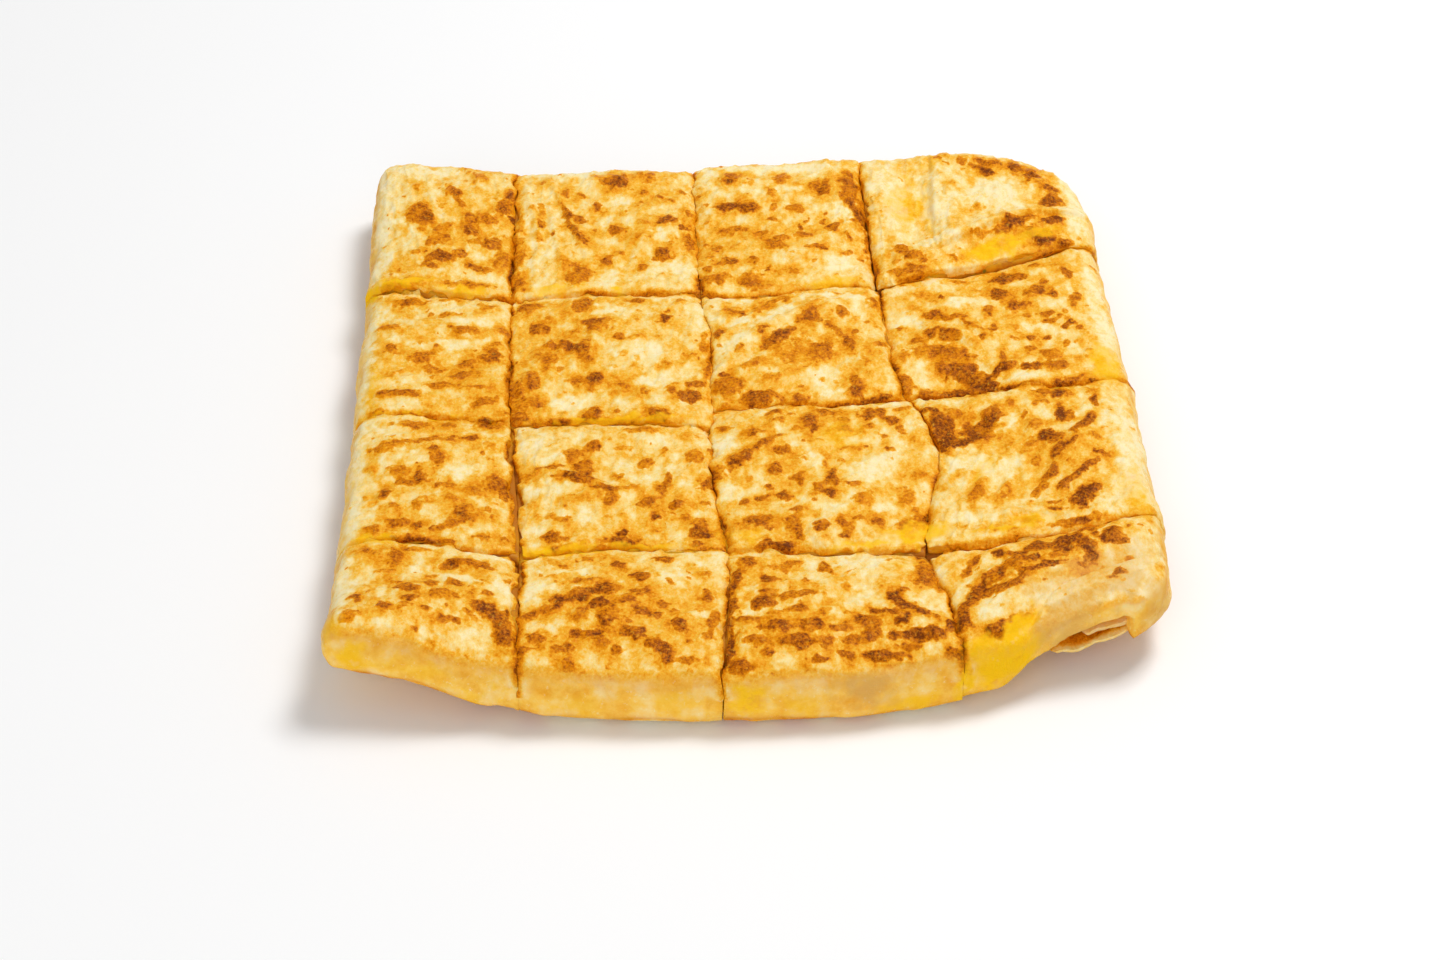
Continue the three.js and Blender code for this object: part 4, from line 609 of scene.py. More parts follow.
def settle(place):
    """Moves places in mm as the folds, hollows and lifted corners of the whole food do."""
    x, y, z = place.T
    wandered = place + 0.5 * wander(place, 5, 301)
    wx, wy = wandered[:, 0], wandered[:, 1]
    lift = np.zeros(len(place))
    for *spot, height, flat in SWELLS:
        lift += height * (1 - smoothstep(flat, 1.8 - flat, away_from(wx, wy, spot)))
    for points, half_width, height in CREASES:
        distance, _ = line_distance(wx, wy, points)
        lift += height * fade_out(distance, half_width)
    for points, reach, height in STEPS:
        distance, signed = line_distance(wx, wy, points)
        lift += height * smoothstep(-0.8, 0.8, signed) * fade_out(distance, reach)
    for points, rises in ROW_CUTS:
        behind = y - smooth_line(points, x)
        rise = np.interp(x, *zip(*rises)) * (x >= points[0][0]) * (x < points[-1][0])
        raised = 0.6 * fade_out(behind, 5)
        lowered = -0.4 * fade_out(behind, 4)
        lift += rise * (lowered + (raised - lowered) * smoothstep(-0.3, 0.3, behind))
    moved = place.copy()
    still_below, full_above = 6, 13
    moved[:, 2] += lift * smoothstep(still_below, full_above, z)

    # The front left corner is lifted by 3 mm and drawn out to a point.
    moved[:, 2] += 3 * smoothstep(-64, -86, x) * smoothstep(-78, -98, y)
    corner = np.exp(-((x + 104) ** 2 + (y + 104) ** 2) / 9 ** 2)
    moved[:, :2] -= 1.6 * corner[:, None]

    # At the front right the lower layers lie further in, under the edge of a flap that ends in a tongue.
    tuck = smoothstep(56, 68, x) * (1 - smoothstep(88.4, 91.4, x)) * smoothstep(-80, -95, y)
    flap_edge = np.interp(x, *zip(*FLAP_EDGE)) + 0.4 * lumps(place, 4, 303)
    below = 1 - smoothstep(flap_edge - 1.1, flap_edge + 0.3, z)
    layers_in, flap_in, layers_up = 8.5, 2.2, 3
    moved[:, 1] += tuck * (layers_in * below + flap_in * (1 - below))
    moved[:, 2] += layers_up * tuck * (1 - smoothstep(6, 14, z))
    tongue = np.exp(-((x - 98) ** 2 + (y + 85) ** 2) / 5.5 ** 2) * (1 - smoothstep(4, 12, z))
    moved[:, :2] += tongue[:, None] * (1.2, -3.4)

    # Nothing sinks below the floor: what would lies just clear of it.
    just_clear = 0.05
    moved[:, 2] = np.maximum(moved[:, 2], just_clear)
    return moved


# ---------- pieces from the frame ----------

def copy_of_node(node, name):
    """A copy of a node of the frame, with its loose triangles merged and joined up into quads."""
    for other in bpy.context.selected_objects:
        other.select_set(False)
    piece = bpy.data.objects.new(name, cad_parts[node].data.copy())
    bpy.context.scene.collection.objects.link(piece)
    piece.data.materials.clear()
    piece.select_set(True)
    bpy.context.view_layer.objects.active = piece
    if piece.data.has_custom_normals:
        bpy.ops.mesh.customdata_custom_splitnormals_clear()
    bpy.ops.object.mode_set(mode="EDIT")
    bpy.ops.mesh.select_all(action="SELECT")
    bpy.ops.mesh.remove_doubles(threshold=0.01 * MM)
    most_bent = math.radians(70)
    bpy.ops.mesh.tris_convert_to_quads(face_threshold=most_bent, shape_threshold=most_bent)
    bpy.ops.object.mode_set(mode="OBJECT")
    return piece


def apply_modifier(piece, kind, **settings):
    """Adds a modifier and applies it."""
    made = piece.modifiers.new(kind.title(), kind)
    for name, value in settings.items():
        setattr(made, name, value)
    bpy.ops.object.modifier_apply(modifier=made.name)


def mark_outside(piece, square):
    """Gives the faces that look out of the whole murtabak the slot OUTSIDE and all others CUT_FACE."""
    mesh = piece.data
    tree = BVHTree.FromPolygons([v.co for v in mesh.vertices], [p.vertices for p in mesh.polygons])
    directions = [Vector((0, 0, 1)), Vector((0, 0, -1))]
    directions += [Vector((*FOLDED[part], 0)) for part in (square[:2], square[2:]) if part in FOLDED]
    clear = 0.6 * MM
    turned_enough = 0.25
    for face in mesh.polygons:
        face.material_index = CUT_FACE
        for direction in directions:
            start = face.center + direction * clear
            if face.normal.dot(direction) >= turned_enough and tree.ray_cast(start, direction)[0] is None:
                face.material_index = OUTSIDE


def crease_rims(piece, weight):
    """Creases the rims and corners of the cut faces, so that they round off only a little."""
    mesh = piece.data
    beside = {}
    for face in mesh.polygons:
        for key in face.edge_keys:
            beside.setdefault(key, []).append(face)
    crease = mesh.attributes.new("crease_edge", "FLOAT", "EDGE")
    sharp = math.cos(math.radians(45))
    for edge in mesh.edges:
        faces = beside[edge.key]
        cut = any(face.material_index == CUT_FACE for face in faces)
        bent = len(faces) == 2 and faces[0].normal.dot(faces[1].normal) < sharp
        crease.data[edge.index].value = weight if cut and bent else 0


def tree_of(nodes):
    """A search tree of the faces of several nodes of the frame."""
    points, faces = [], []
    for node in nodes:
        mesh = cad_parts[node].data
        faces += [[len(points) + i for i in face.vertices] for face in mesh.polygons]
        points += [v.co.copy() for v in mesh.vertices]
    return BVHTree.FromPolygons(points, faces)


def close_cuts(piece, node, kind, share, opens, ridge=0):
    """Leans the sides of a piece over its cuts, towards the neighbours of its kind.

    A side goes this share of the way across the gap at the top, and less of it lower down. Where the cuts
    stand open, a piece that opens leans less. Its upper rims rise by a ridge in mm.
    """
    row, column = node[-4:-2], node[-2:]
    others = [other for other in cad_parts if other.startswith(kind)]
    in_row = tree_of([other for other in others if other[-4:-2] == row and other[-2:] != column])
    in_column = tree_of([other for other in others if other[-4:-2] != row and other[-2:] == column])
    top = max(v.co.z for v in piece.data.vertices)
    low, high, upper = -0.1 * top, 0.2 * top, 0.75 * top
    widest_closed, widest = 5.5 * MM, 7.5 * MM
    along_z = 0.15                       # a side follows little of a neighbour's difference in height
    for vertex in piece.data.vertices:
        x, y = vertex.co.x / MM, vertex.co.y / MM
        opened = max(spot[5] * (1 - smoothstep(0.7, 1.3, away_from(x, y, spot))) for spot in OPEN_PLACES)
        rise = share * (1 - opened * opens) * min(1, (vertex.co.z - low) / (high - low))
        start = vertex.co.copy()
        rim = 0
        for tree, across in ((in_row, Vector((1, 0, along_z))), (in_column, Vector((0, 1, along_z)))):
            nearest, _, _, gap = tree.find_nearest(start, widest)
            if nearest is not None:
                lean = rise * min(1, (widest - gap) / (widest - widest_closed))
                vertex.co += (nearest - start) * across * lean
                rim = max(rim, lean / share)
        vertex.co.z += (1 - 0.3 * opened) * ridge * MM * rim * (start.z > upper)


def refine(piece, largest, lowest_normal):
    """Splits the outside faces that look up more than lowest_normal, in a few rounds, until none is larger
    than a square with sides of this length."""
    mesh = piece.data
    most_rounds = 3
    for _ in range(most_rounds):
        count = len(mesh.polygons)
        area, slot, normal = np.empty(count), np.empty(count, np.int32), np.empty(count * 3)
        mesh.polygons.foreach_get("area", area)
        mesh.polygons.foreach_get("material_index", slot)
        mesh.polygons.foreach_get("normal", normal)
        chosen = (slot == OUTSIDE) & (normal[2::3] > lowest_normal) & (area > largest ** 2)
        if not chosen.any():
            return
        bpy.ops.object.mode_set(mode="EDIT")
        bpy.ops.mesh.select_mode(type="FACE")
        bpy.ops.mesh.select_all(action="DESELECT")
        bpy.ops.object.mode_set(mode="OBJECT")
        mesh.polygons.foreach_set("select", chosen)
        bpy.ops.object.mode_set(mode="EDIT")
        bpy.ops.mesh.subdivide(number_cuts=1, smoothness=0, ngon=False)
        bpy.ops.object.mode_set(mode="OBJECT")


def vertex_data(mesh):
    """Places in mm, normals, and which vertices lie on an outside face."""
    count = len(mesh.vertices)
    place, normal = np.empty(count * 3), np.empty(count * 3)
    mesh.vertices.foreach_get("co", place)
    mesh.vertices.foreach_get("normal", normal)
    slot = np.empty(len(mesh.polygons), np.int32)
    mesh.polygons.foreach_get("material_index", slot)
    corners = np.empty(len(mesh.polygons), np.int32)
    mesh.polygons.foreach_get("loop_total", corners)
    corner_vertex = np.empty(len(mesh.loops), np.int32)
    mesh.loops.foreach_get("vertex_index", corner_vertex)
    outside = np.zeros(count, bool)
    outside[corner_vertex[np.repeat(slot == OUTSIDE, corners)]] = True
    return place.reshape(-1, 3) / MM, normal.reshape(-1, 3), outside


def move_vertices(mesh, place):
    """Puts the vertices at these places in mm."""
    mesh.vertices.foreach_set("co", (place * MM).ravel())
    mesh.update()


def rim_distance(mesh, place):
    """Distance in mm from the rim of a cut of each place in the upper half, and far off lower down."""
    slots_round = {}
    for face in mesh.polygons:
        for vertex in face.vertices:
            slots_round.setdefault(vertex, set()).add(face.material_index)
    half = 0.5 * place[:, 2].max()
    rims = [i for i, slots in slots_round.items() if len(slots) == 2 and place[i, 2] > half]
    tree = KDTree(len(rims))
    for i in rims:
        tree.insert(place[i], i)
    tree.balance()
    far_off = 99.0
    distance = np.full(len(place), far_off)
    for i in np.flatnonzero(place[:, 2] > half):
        distance[i] = tree.find(place[i])[2]
    return distance


def write_attribute(mesh, name, values):
    """Stores one number at each vertex, for the materials to read."""
    attribute = mesh.attributes.new(name, "FLOAT", "POINT")
    attribute.data.foreach_set("value", values.astype(np.float32))


# ---------- the browned dough ----------

def spot_distances(place, spots, ragged):
    """Each spot with how far every place lies from it, along an outline that wanders by ragged mm."""
    outline = wander(place, 2.6, 11) + 0.5 * wander(place, 1.1, 13)
    x, y = (place + ragged * outline)[:, :2].T
    for spot in spots:
        yield spot, away_from(x, y, spot)


def most_of(place, spots, ragged, edge):
    """How far each place lies in any of some spots that each have a strength, from 0 to 1."""
    most = np.zeros(len(place))
    for spot, away in spot_distances(place, spots, ragged):
        most = np.maximum(most, spot[5] * (1 - smoothstep(0.4, 1.25, away + edge)))
    return most


def random_spots(square, count, box):
    """Small seeded spots that fill the places between the named marks."""
    chance = np.random.default_rng(1000 + SQUARES.index(square))
    spots = []
    for _ in range(count):
        x, y = chance.uniform(box[0][:2], box[1][:2])
        size = 0.9 + 1.5 * chance.random() ** 2
        length = size * chance.uniform(1, 1.7)
        spots.append((x, y, length, size, chance.uniform(0, 180), chance.uniform(0.2, 0.6)))
    return spots


def browning_and_shade(square, place, box):
    """How warm the top is at each place, how much it is marked and how far blistered up, from 0 to 1."""
    dough = bpy.context.scene.murtabak_dough
    clear, unwarmed, blister = (np.ones(len(place)), np.ones(len(place)), np.zeros(len(place)))
    drawn = place * DRAWN
    edge = 0.36 * rough_lumps(drawn, 2.0, 3, 21)
    spots = MARKS[square] + random_spots(square, dough.random_spots, box)
    for spot, away in spot_distances(place, spots, 0.8):
        _, _, length, width, _, depth = spot
        inside = 1 - smoothstep(0.4 + 0.35 * depth ** 2, 1.2, away + edge)
        clear *= 1 - min(0.93, 0.97 * depth) * inside
        beyond = np.maximum(0, away - 1) * math.sqrt(length * width) / 2
        unwarmed *= 1 - 0.56 * math.sqrt(depth) * min(1, width / 2.6) * fade_out(beyond, 1.9)
        blister = np.maximum(blister, min(1, width / 4.5) * (1 - smoothstep(0.3, 1.3, away)))
    pale = most_of(place, [(*where, 1) for where in PALE_PLACES[square]], 1.6, edge)
    mottle = rough_lumps(drawn, 2.0, 3, 31)
    warmed = smoothstep(-0.6, 0.5, rough_lumps(drawn, 3.2, 4, 33) + 0.6 * rough_lumps(drawn, 11, 2, 41))
    haze = 0.1 + 0.19 * warmed + 0.06 * mottle
    haze += (1 - unwarmed) * (0.28 + 0.16 * mottle)
    haze = np.clip(haze, 0, 1) * (1 - 0.75 * pale * (0.55 + 0.45 * unwarmed))
    return haze, np.clip((1 - clear) * (0.94 + 0.2 * mottle), 0, 1), blister


def wrinkles(place, turn, seed):
    """Fine folds of the skin that run along one direction, from 0 to 1."""
    along, across = turned(place[:, 0], place[:, 1], turn)
    longer = 3.2
    bend = 1.4 * lumps(place, 9, seed)
    stretched = np.stack([along / longer, across + bend, np.zeros(len(place))], axis=1)
    return (1 - np.abs(rough_lumps(stretched, 2.6, 2, seed + 1))) ** 2


def finish_dough(piece, square):
    """Sculpts the skin of a piece of dough, and stores at each place what its materials read."""
    dough = bpy.context.scene.murtabak_dough
    mesh = piece.data
    place, normal, outside = vertex_data(mesh)
    index = SQUARES.index(square)
    own = place + 57.0 * index           # so that no two squares have the same lumps
    up = normal[:, 2]
    top = smoothstep(0.38, 0.85, up) * outside
    under = smoothstep(0.3, 0.75, -up) * outside
    side = outside * (1 - top) * (1 - under)
    box = [place.min(axis=0), place.max(axis=0)]
    at_front = place[:, 1] < -92
    at_back = smoothstep(box[0][1] + 10, box[1][1] - 10, place[:, 1])
    rim_away = rim_distance(mesh, place)

    # Browning and painted shade: the top as its marks say, painted shade along the rims of the cuts, a
    # browned foot, and cut faces painted browner away from egg, as the shade down in the cuts.
    mottled = rough_lumps(place, 3, 2, 45)
    edge = 0.25 * mottled
    haze, mark, blister = browning_and_shade(square, place, box)
    yellow = most_of(place, YELLOW_PLACES, 1.6, edge)
    # Painted shade: the top and the sides darken along the rims of the cuts, where they round down into
    # them.
    shaded_at_cuts = fade_out(rim_away, 1.35 - 0.6 * at_back)
    shaded_at_cuts *= np.clip(0.42 + 0.7 * rough_lumps(place, 8, 3, 63), 0.15, 1)
    shoulder = at_front * smoothstep(0.3, 0.6, up) * (1 - smoothstep(0.75, 0.99, up))
    haze = np.maximum(haze, 0.34 * shoulder)
    haze = np.clip(haze + (1 - haze) * shaded_at_cuts * (1 - 0.5 * yellow), 0, 1)
    near_cut = fade_out(rim_away, 2.2) * outside
    side *= 1 - near_cut
    seen_top = np.maximum(smoothstep(0.12, 0.45, up) * outside, near_cut)
    foot = smoothstep(0.0, 0.55, -up) * (0.6 + 0.4 * rough_lumps(own, 9, 2, 61))
    side_mark = 0.1 * smoothstep(0.3, 0.9, lumps(own, 5, 62))
    brown_under = np.clip(0.35 + 0.5 * rough_lumps(own, 7, 3, 51), 0, 1)
    brown = seen_top * haze + under * brown_under
    brown += (1 - seen_top) * side * np.clip(side_mark + foot + 0.6 * shaded_at_cuts, 0, 1)
    # Painted shade: the cut faces go most of the way to toasted, as the shade down in the narrow cuts, less
    # where egg shows.
    cut_shade = np.clip((0.85 + 0.3 * rough_lumps(place, 8, 3, 63)) * (1 - 0.7 * yellow), 0, 1)
    brown = np.where(outside, brown, cut_shade)
    mark = mark * top * (1 - 0.6 * yellow)

    # Relief in mm: blisters, wrinkles and lumps on the top, and softer lumps on the sides and underneath.
    relief = top * (
        dough.blister_height * blister
        + dough.wrinkle_height * wrinkles(place, WRINKLE_TURN[square], 70 + index) * (1 - 0.6 * mark)
        + 0.24 * rough_lumps(own, 3.4, 3, 81) + 0.07 * lumps(own, 0.9, 84) * (0.4 + mark)
    )
    relief += side * (0.4 * rough_lumps(own, 7, 3, 91) + 0.12 * lumps(own, 1.8, 94))
    relief += under * 0.12 * rough_lumps(own, 5, 2, 95)

    # Everything wavers a little, the lower edge of the sides more, and the rims of the cuts most.
    waver = 0.22 * wander(own, 3.2, 101)
    lower_edge = side * (1 - smoothstep(3, 9, place[:, 2] - box[0][2]))
    waver[:, 2] += lower_edge * 0.7 * rough_lumps(own, 11, 2, 103)
    opened = most_of(place, OPEN_PLACES, 0, 0)
    crumbled = wander(place, 1.7, 104)
    crumbled[:, 2] = lumps(place, 2.3, 106)
    waver += (fade_out(rim_away, 1.2) * (0.4 + 0.4 * opened))[:, None] * crumbled
    waver += 0.75 * fade_out(rim_away, 2.5)[:, None] * wander(place, 4.5, 107)
    move_vertices(mesh, settle(place + normal * (relief * outside)[:, None] + waver))

    # The front side is looked at from the front, so its places are given by x and height.
    from_front = np.stack([place[:, 0], place[:, 2], np.zeros(len(place))], axis=1)
    yellow = np.maximum(yellow, (1 - top) * at_front * most_of(from_front, FRONT_YELLOW, 1.6, edge))
    tan_and_shade = (1 - top) * at_front * most_of(from_front, FRONT_GREY, 1.2, edge)
    # On the flap at the front right this tan is partly painted shade.
    tan_and_shade = np.maximum(tan_and_shade, outside * most_of(place, TAN_PLACES, 1.6, edge) * (1 - mark))
    side *= 1 - most_of(place, WHITISH_PLACES, 1.6, edge)
    # The browning stored here holds painted shade along the cuts as well.
    stored = {"browning_and_shade": brown, "mark": mark, "side": side, "yellow": yellow, "tan_and_shade": tan_and_shade}
    for name, values in stored.items():
        write_attribute(mesh, name, values)


def make_dough(node, square, name):
    """One piece of browned dough in place of its node."""
    dough = bpy.context.scene.murtabak_dough
    piece = copy_of_node(node, name)
    mark_outside(piece, square)
    crease_rims(piece, 0.8)
    close_cuts(piece, node, "crust", share=0.495, opens=True)
    apply_modifier(piece, "SUBSURF", levels=3, render_levels=3)
    refine(piece, dough.skin_step, lowest_normal=0.35)
    finish_dough(piece, square)
    piece.data.shade_smooth()
    piece.data.materials.append(bpy.data.materials["griddled wheat dough"])
    piece.data.materials.append(bpy.data.materials["cut edge of wheat dough"])
    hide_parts(node)
    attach(piece, "root")


# ---------- the set egg ----------

def make_egg(square):
    """The set egg of a square in place of its node, lumpy where the cuts show it.

    For its creases every face counts as cut, and for its one material every face counts as outside.
    """
    node = f"filling_{square}"
    piece = copy_of_node(node, f"egg_{square}")
    for face in piece.data.polygons:
        face.material_index = CUT_FACE
    crease_rims(piece, 0.8)
    for face in piece.data.polygons:
        face.material_index = OUTSIDE
    close_cuts(piece, node, "filling", share=0.5, opens=False, ridge=2.2)
    apply_modifier(piece, "SUBSURF", levels=3, render_levels=3)
    place, normal, _ = vertex_data(piece.data)
    upright = 1 - np.abs(normal[:, 2])
    lumpy = 0.2 * rough_lumps(place, 2.4, 3, 201) - 0.1 + 0.25 * smoothstep(0.2, 0.7, upright)
    move_vertices(piece.data, settle(place + normal * lumpy[:, None]))
    yellow = most_of(place, YELLOW_PLACES, 1.6, 0)
    opened = most_of(place, OPEN_PLACES, 0, 0)
    cooked = np.clip(0.7 + 0.4 * opened + 0.5 * rough_lumps(place, 7, 3, 63), 0, 1) * (1 - yellow)
    write_attribute(piece.data, "yellow", yellow)
    write_attribute(piece.data, "browning_and_shade", cooked)
    piece.data.shade_smooth()
    piece.data.materials.append(bpy.data.materials["set beaten egg"])
    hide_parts(node)
    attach(piece, "root")


# ---------- materials ----------

def add_node(tree, kind, inputs=(), output=0, stops=(), **settings):
    """Adds a node with its settings, and returns one of its outputs, or the node itself if it has none.

    Its inputs are values, or the outputs that they are linked to. A colour ramp has stops, which are
    pairs of a place and a linear colour.
    """
    made = tree.nodes.new(kind)
    for name, value in settings.items():
        setattr(made, name, value)
    for key, value in dict(inputs).items():
        if isinstance(value, bpy.types.NodeSocket):
            tree.links.new(value, made.inputs[key])
        else:
            made.inputs[key].default_value = value
    # A new colour ramp has two stops already.
    for _ in stops[2:]:
        made.color_ramp.elements.new(1)
    for index, (where, colour) in enumerate(stops):
        made.color_ramp.elements[index].position = where
        made.color_ramp.elements[index].color = (*colour, 1)
    return made.outputs[output] if made.outputs else made


def new_material(name):
    """The empty node tree of a new material, and its object coordinates."""
    material = bpy.data.materials.new(name)
    material.use_nodes = True
    material.node_tree.nodes.clear()
    return material.node_tree, add_node(material.node_tree, "ShaderNodeTexCoord", output="Object")


def add_food_surface(tree, colour, gloss, normal, spread, spread_mm):
    """Moist food: a soft gloss, and light that spreads inside it, most of all red."""
    surface = add_node(tree, "ShaderNodeBsdfPrincipled", {
        "Base Color": colour, "Roughness": gloss, "Normal": normal, "Specular IOR Level": 0.06,
        "Subsurface Weight": spread, "Subsurface Radius": (1.0, 0.55, 0.25),
        "Subsurface Scale": spread_mm * MM,
    })
    add_node(tree, "ShaderNodeOutputMaterial", {"Surface": surface})


def griddled_dough():
    """Wheat dough fried in a little oil: satin, see-through where pale, grainy where it browned."""
    dough = bpy.context.scene.murtabak_dough
    tree, place = new_material("griddled wheat dough")
    # The browning read here holds painted shade along the cuts and under the flap as well.
    browned, side, mark, yellow, wet = [
        add_node(tree, "ShaderNodeAttribute", output="Fac", attribute_name=name)
        for name in ("browning_and_shade", "side", "mark", "yellow", "tan_and_shade")
    ]
    drawn = add_node(tree, "ShaderNodeMapping", {"Vector": place, "Scale": DRAWN})

    # Each pattern's size in mm, detail and roughness. The pores are drawn coarser than real ones, to show.
    crumbs, patches, warmth, grain, mark_glint_noise, blotch, oil, pores = [
        add_node(tree, "ShaderNodeTexNoise",
                 {"Vector": where, "Scale": 1 / (size * MM), "Detail": detail, "Roughness": roughness})
        for where, size, detail, roughness in (
            (drawn, 1.2, 4, 0.68), (drawn, 3.0, 3, 0.6), (drawn, 2.2, 5, 0.75),
            (place, dough.grain_size / MM, 3, 0.7), (drawn, 0.9, 2, 0.6), (place, 6, 4, 0.6),
            (place, 4, 3, 0.5), (place, 0.45, 2, 0.6),
        )
    ]
    middle = 0.5
    crumbs_off, patches_off, warmth_off, grain_off = [
        add_node(tree, "ShaderNodeMath", {0: pattern, 1: middle}, operation="SUBTRACT")
        for pattern in (crumbs, patches, warmth, grain)
    ]

    # A griddle mark ends in a crumbly line: fine noise decides how far each mark reaches.
    reach = add_node(tree, "ShaderNodeMath", {0: crumbs_off, 1: 0.8, 2: mark}, operation="MULTIPLY_ADD")
    inside = add_node(tree, "ShaderNodeMapRange", {0: reach, 1: 0.13, 2: 0.33})
    depth = add_node(tree, "ShaderNodeMath", {0: mark, 1: 0.85, 2: 0.08}, operation="MULTIPLY_ADD")
    uneven = add_node(tree, "ShaderNodeMath", {0: patches_off, 1: 0.7, 2: depth}, operation="MULTIPLY_ADD")
    crisp = add_node(tree, "ShaderNodeMath", {0: inside, 1: uneven}, operation="MULTIPLY")

    # Toasted grains show where the dough has begun to brown, and fainter flecks everywhere.
    warm = add_node(tree, "ShaderNodeMath", {0: warmth_off, 1: 0.8, 2: browned}, operation="MULTIPLY_ADD")
    left = add_node(tree, "ShaderNodeMath", {0: 1.0, 1: warm}, operation="SUBTRACT")
    both = add_node(tree, "ShaderNodeMath", {0: crisp, 1: left, 2: warm}, operation="MULTIPLY_ADD")
    started = add_node(tree, "ShaderNodeMapRange", {0: both, 1: 0.2, 2: 0.6, 3: 0.2, 4: 1.0})
    grained = add_node(tree, "ShaderNodeMath", {0: grain_off, 1: started}, operation="MULTIPLY")
    toasted_and_shade = add_node(tree, "ShaderNodeMath", {0: grained, 1: 1.1, 2: both}, operation="MULTIPLY_ADD")
    top_colour = add_node(tree, "ShaderNodeValToRGB", {0: toasted_and_shade}, stops=[
        (0.0, dough.pale), (0.15, dough.cream), (0.31, dough.golden), (0.49, dough.amber),
        (0.66, dough.toasted_and_shade), (0.83, dough.brown), (1.0, dough.charred),
    ])

    # Tiny golden specks in the marks are painted glints on the blistered skin.
    mark_glints = add_node(tree, "ShaderNodeMapRange", {0: mark_glint_noise, 1: 0.58, 2: 0.74, 3: 0.0, 4: 0.42})
    mark_glints_shown = add_node(tree, "ShaderNodeMath", {0: mark_glints, 1: inside}, operation="MULTIPLY")

    # A folded side stays unbrowned, so it shows the yellow of the filling through the dough.
    side_shade = add_node(tree, "ShaderNodeMath", {0: grained, 1: 0.2, 2: blotch}, operation="MULTIPLY_ADD")
    side_colour = add_node(tree, "ShaderNodeValToRGB", {0: side_shade}, stops=[
        (0.3, dough.side_pale), (0.5, dough.side_middle), (0.68, dough.side_deep),
    ])
    # Pale specks on the sides are painted glints.
    glints_on_sides = add_node(tree, "ShaderNodeMapRange", {0: crumbs, 1: 0.6, 2: 0.7, 3: 0.0, 4: 0.6})

    # Egg that shows through thin or torn dough.
    egg_shade = add_node(tree, "ShaderNodeMath", {0: grained, 1: 0.3, 2: blotch}, operation="MULTIPLY_ADD")
    egg_colour = add_node(tree, "ShaderNodeValToRGB", {0: egg_shade}, stops=[
        (0.3, dough.egg_deep), (0.44, dough.egg_bright), (0.62, dough.egg_bright), (0.85, dough.side_pale),
    ])

    # Each colour is laid over the last: painted glints in the marks on the top, painted glints and browning
    # with painted shade near the cuts on the sides, then egg, and a wet place that lets the dark inside
    # through, which on the flap at the front right is painted shade as well.
    top_all = {0: mark_glints_shown, 6: top_colour, 7: (*dough.golden, 1)}
    top_shown = add_node(tree, "ShaderNodeMix", top_all, 2, data_type="RGBA")
    colour = side_colour
    for share, over in ((glints_on_sides, dough.pale), (browned, dough.toasted_and_shade)):
        colour = add_node(tree, "ShaderNodeMix", {0: share, 6: colour, 7: (*over, 1)}, 2, data_type="RGBA")
    colour = add_node(tree, "ShaderNodeMix", {0: side, 6: top_shown, 7: colour}, 2, data_type="RGBA")
    for share, over in ((yellow, egg_colour), (wet, (*dough.wet, 1))):
        colour = add_node(tree, "ShaderNodeMix", {0: share, 6: colour, 7: over}, 2, data_type="RGBA")

    # Oil lies in patches, so the gloss changes from place to place.
    gloss = add_node(tree, "ShaderNodeMapRange", {0: oil, 1: 0.35, 2: 0.65, 3: 0.24, 4: 0.56})
    skin = add_node(tree, "ShaderNodeMath", {0: grain, 1: 1.2, 2: pores}, operation="MULTIPLY_ADD")
    rough = add_node(tree, "ShaderNodeMath", {0: crumbs, 1: 1.6, 2: skin}, operation="MULTIPLY_ADD")
    bump = add_node(tree, "ShaderNodeBump", {"Height": rough, "Strength": 0.7, "Distance": 0.2 * MM})
    add_food_surface(tree, colour, gloss, bump, spread=0.18, spread_mm=1.8)


def cut_dough():
    """The edge where the dough was cut: thin soft layers, matt and a little damp.

    It is painted toasted brown, as the shade down in the narrow cuts.
    """
    dough = bpy.context.scene.murtabak_dough
    tree, place = new_material("cut edge of wheat dough")
    flat = add_node(tree, "ShaderNodeMapping", {"Vector": place, "Scale": (1.0, 1.0, 4.0)})
    layer_mm = 1.6
    layers = add_node(tree, "ShaderNodeTexNoise",
                      {"Vector": flat, "Scale": 1 / (layer_mm * MM), "Detail": 3, "Roughness": 0.5})
    browned = add_node(tree, "ShaderNodeAttribute", output="Fac", attribute_name="browning_and_shade")
    colour = add_node(tree, "ShaderNodeValToRGB", {0: layers}, stops=[
        (0.3, dough.egg_deep), (0.5, dough.egg_bright), (0.7, dough.side_middle),
    ])
    # The browning read here is painted shade, which takes the cut face toward the toasted colour.
    over = {0: browned, 6: colour, 7: (*dough.toasted_and_shade, 1)}
    shaded_at_cuts = add_node(tree, "ShaderNodeMix", over, 2, data_type="RGBA")
    gloss = add_node(tree, "ShaderNodeMapRange", {0: layers, 1: 0.3, 2: 0.7, 3: 0.4, 4: 0.6})
    bump = add_node(tree, "ShaderNodeBump", {"Height": layers, "Strength": 0.6, "Distance": 0.3 * MM})
    add_food_surface(tree, shaded_at_cuts, gloss, bump, spread=0.4, spread_mm=3)


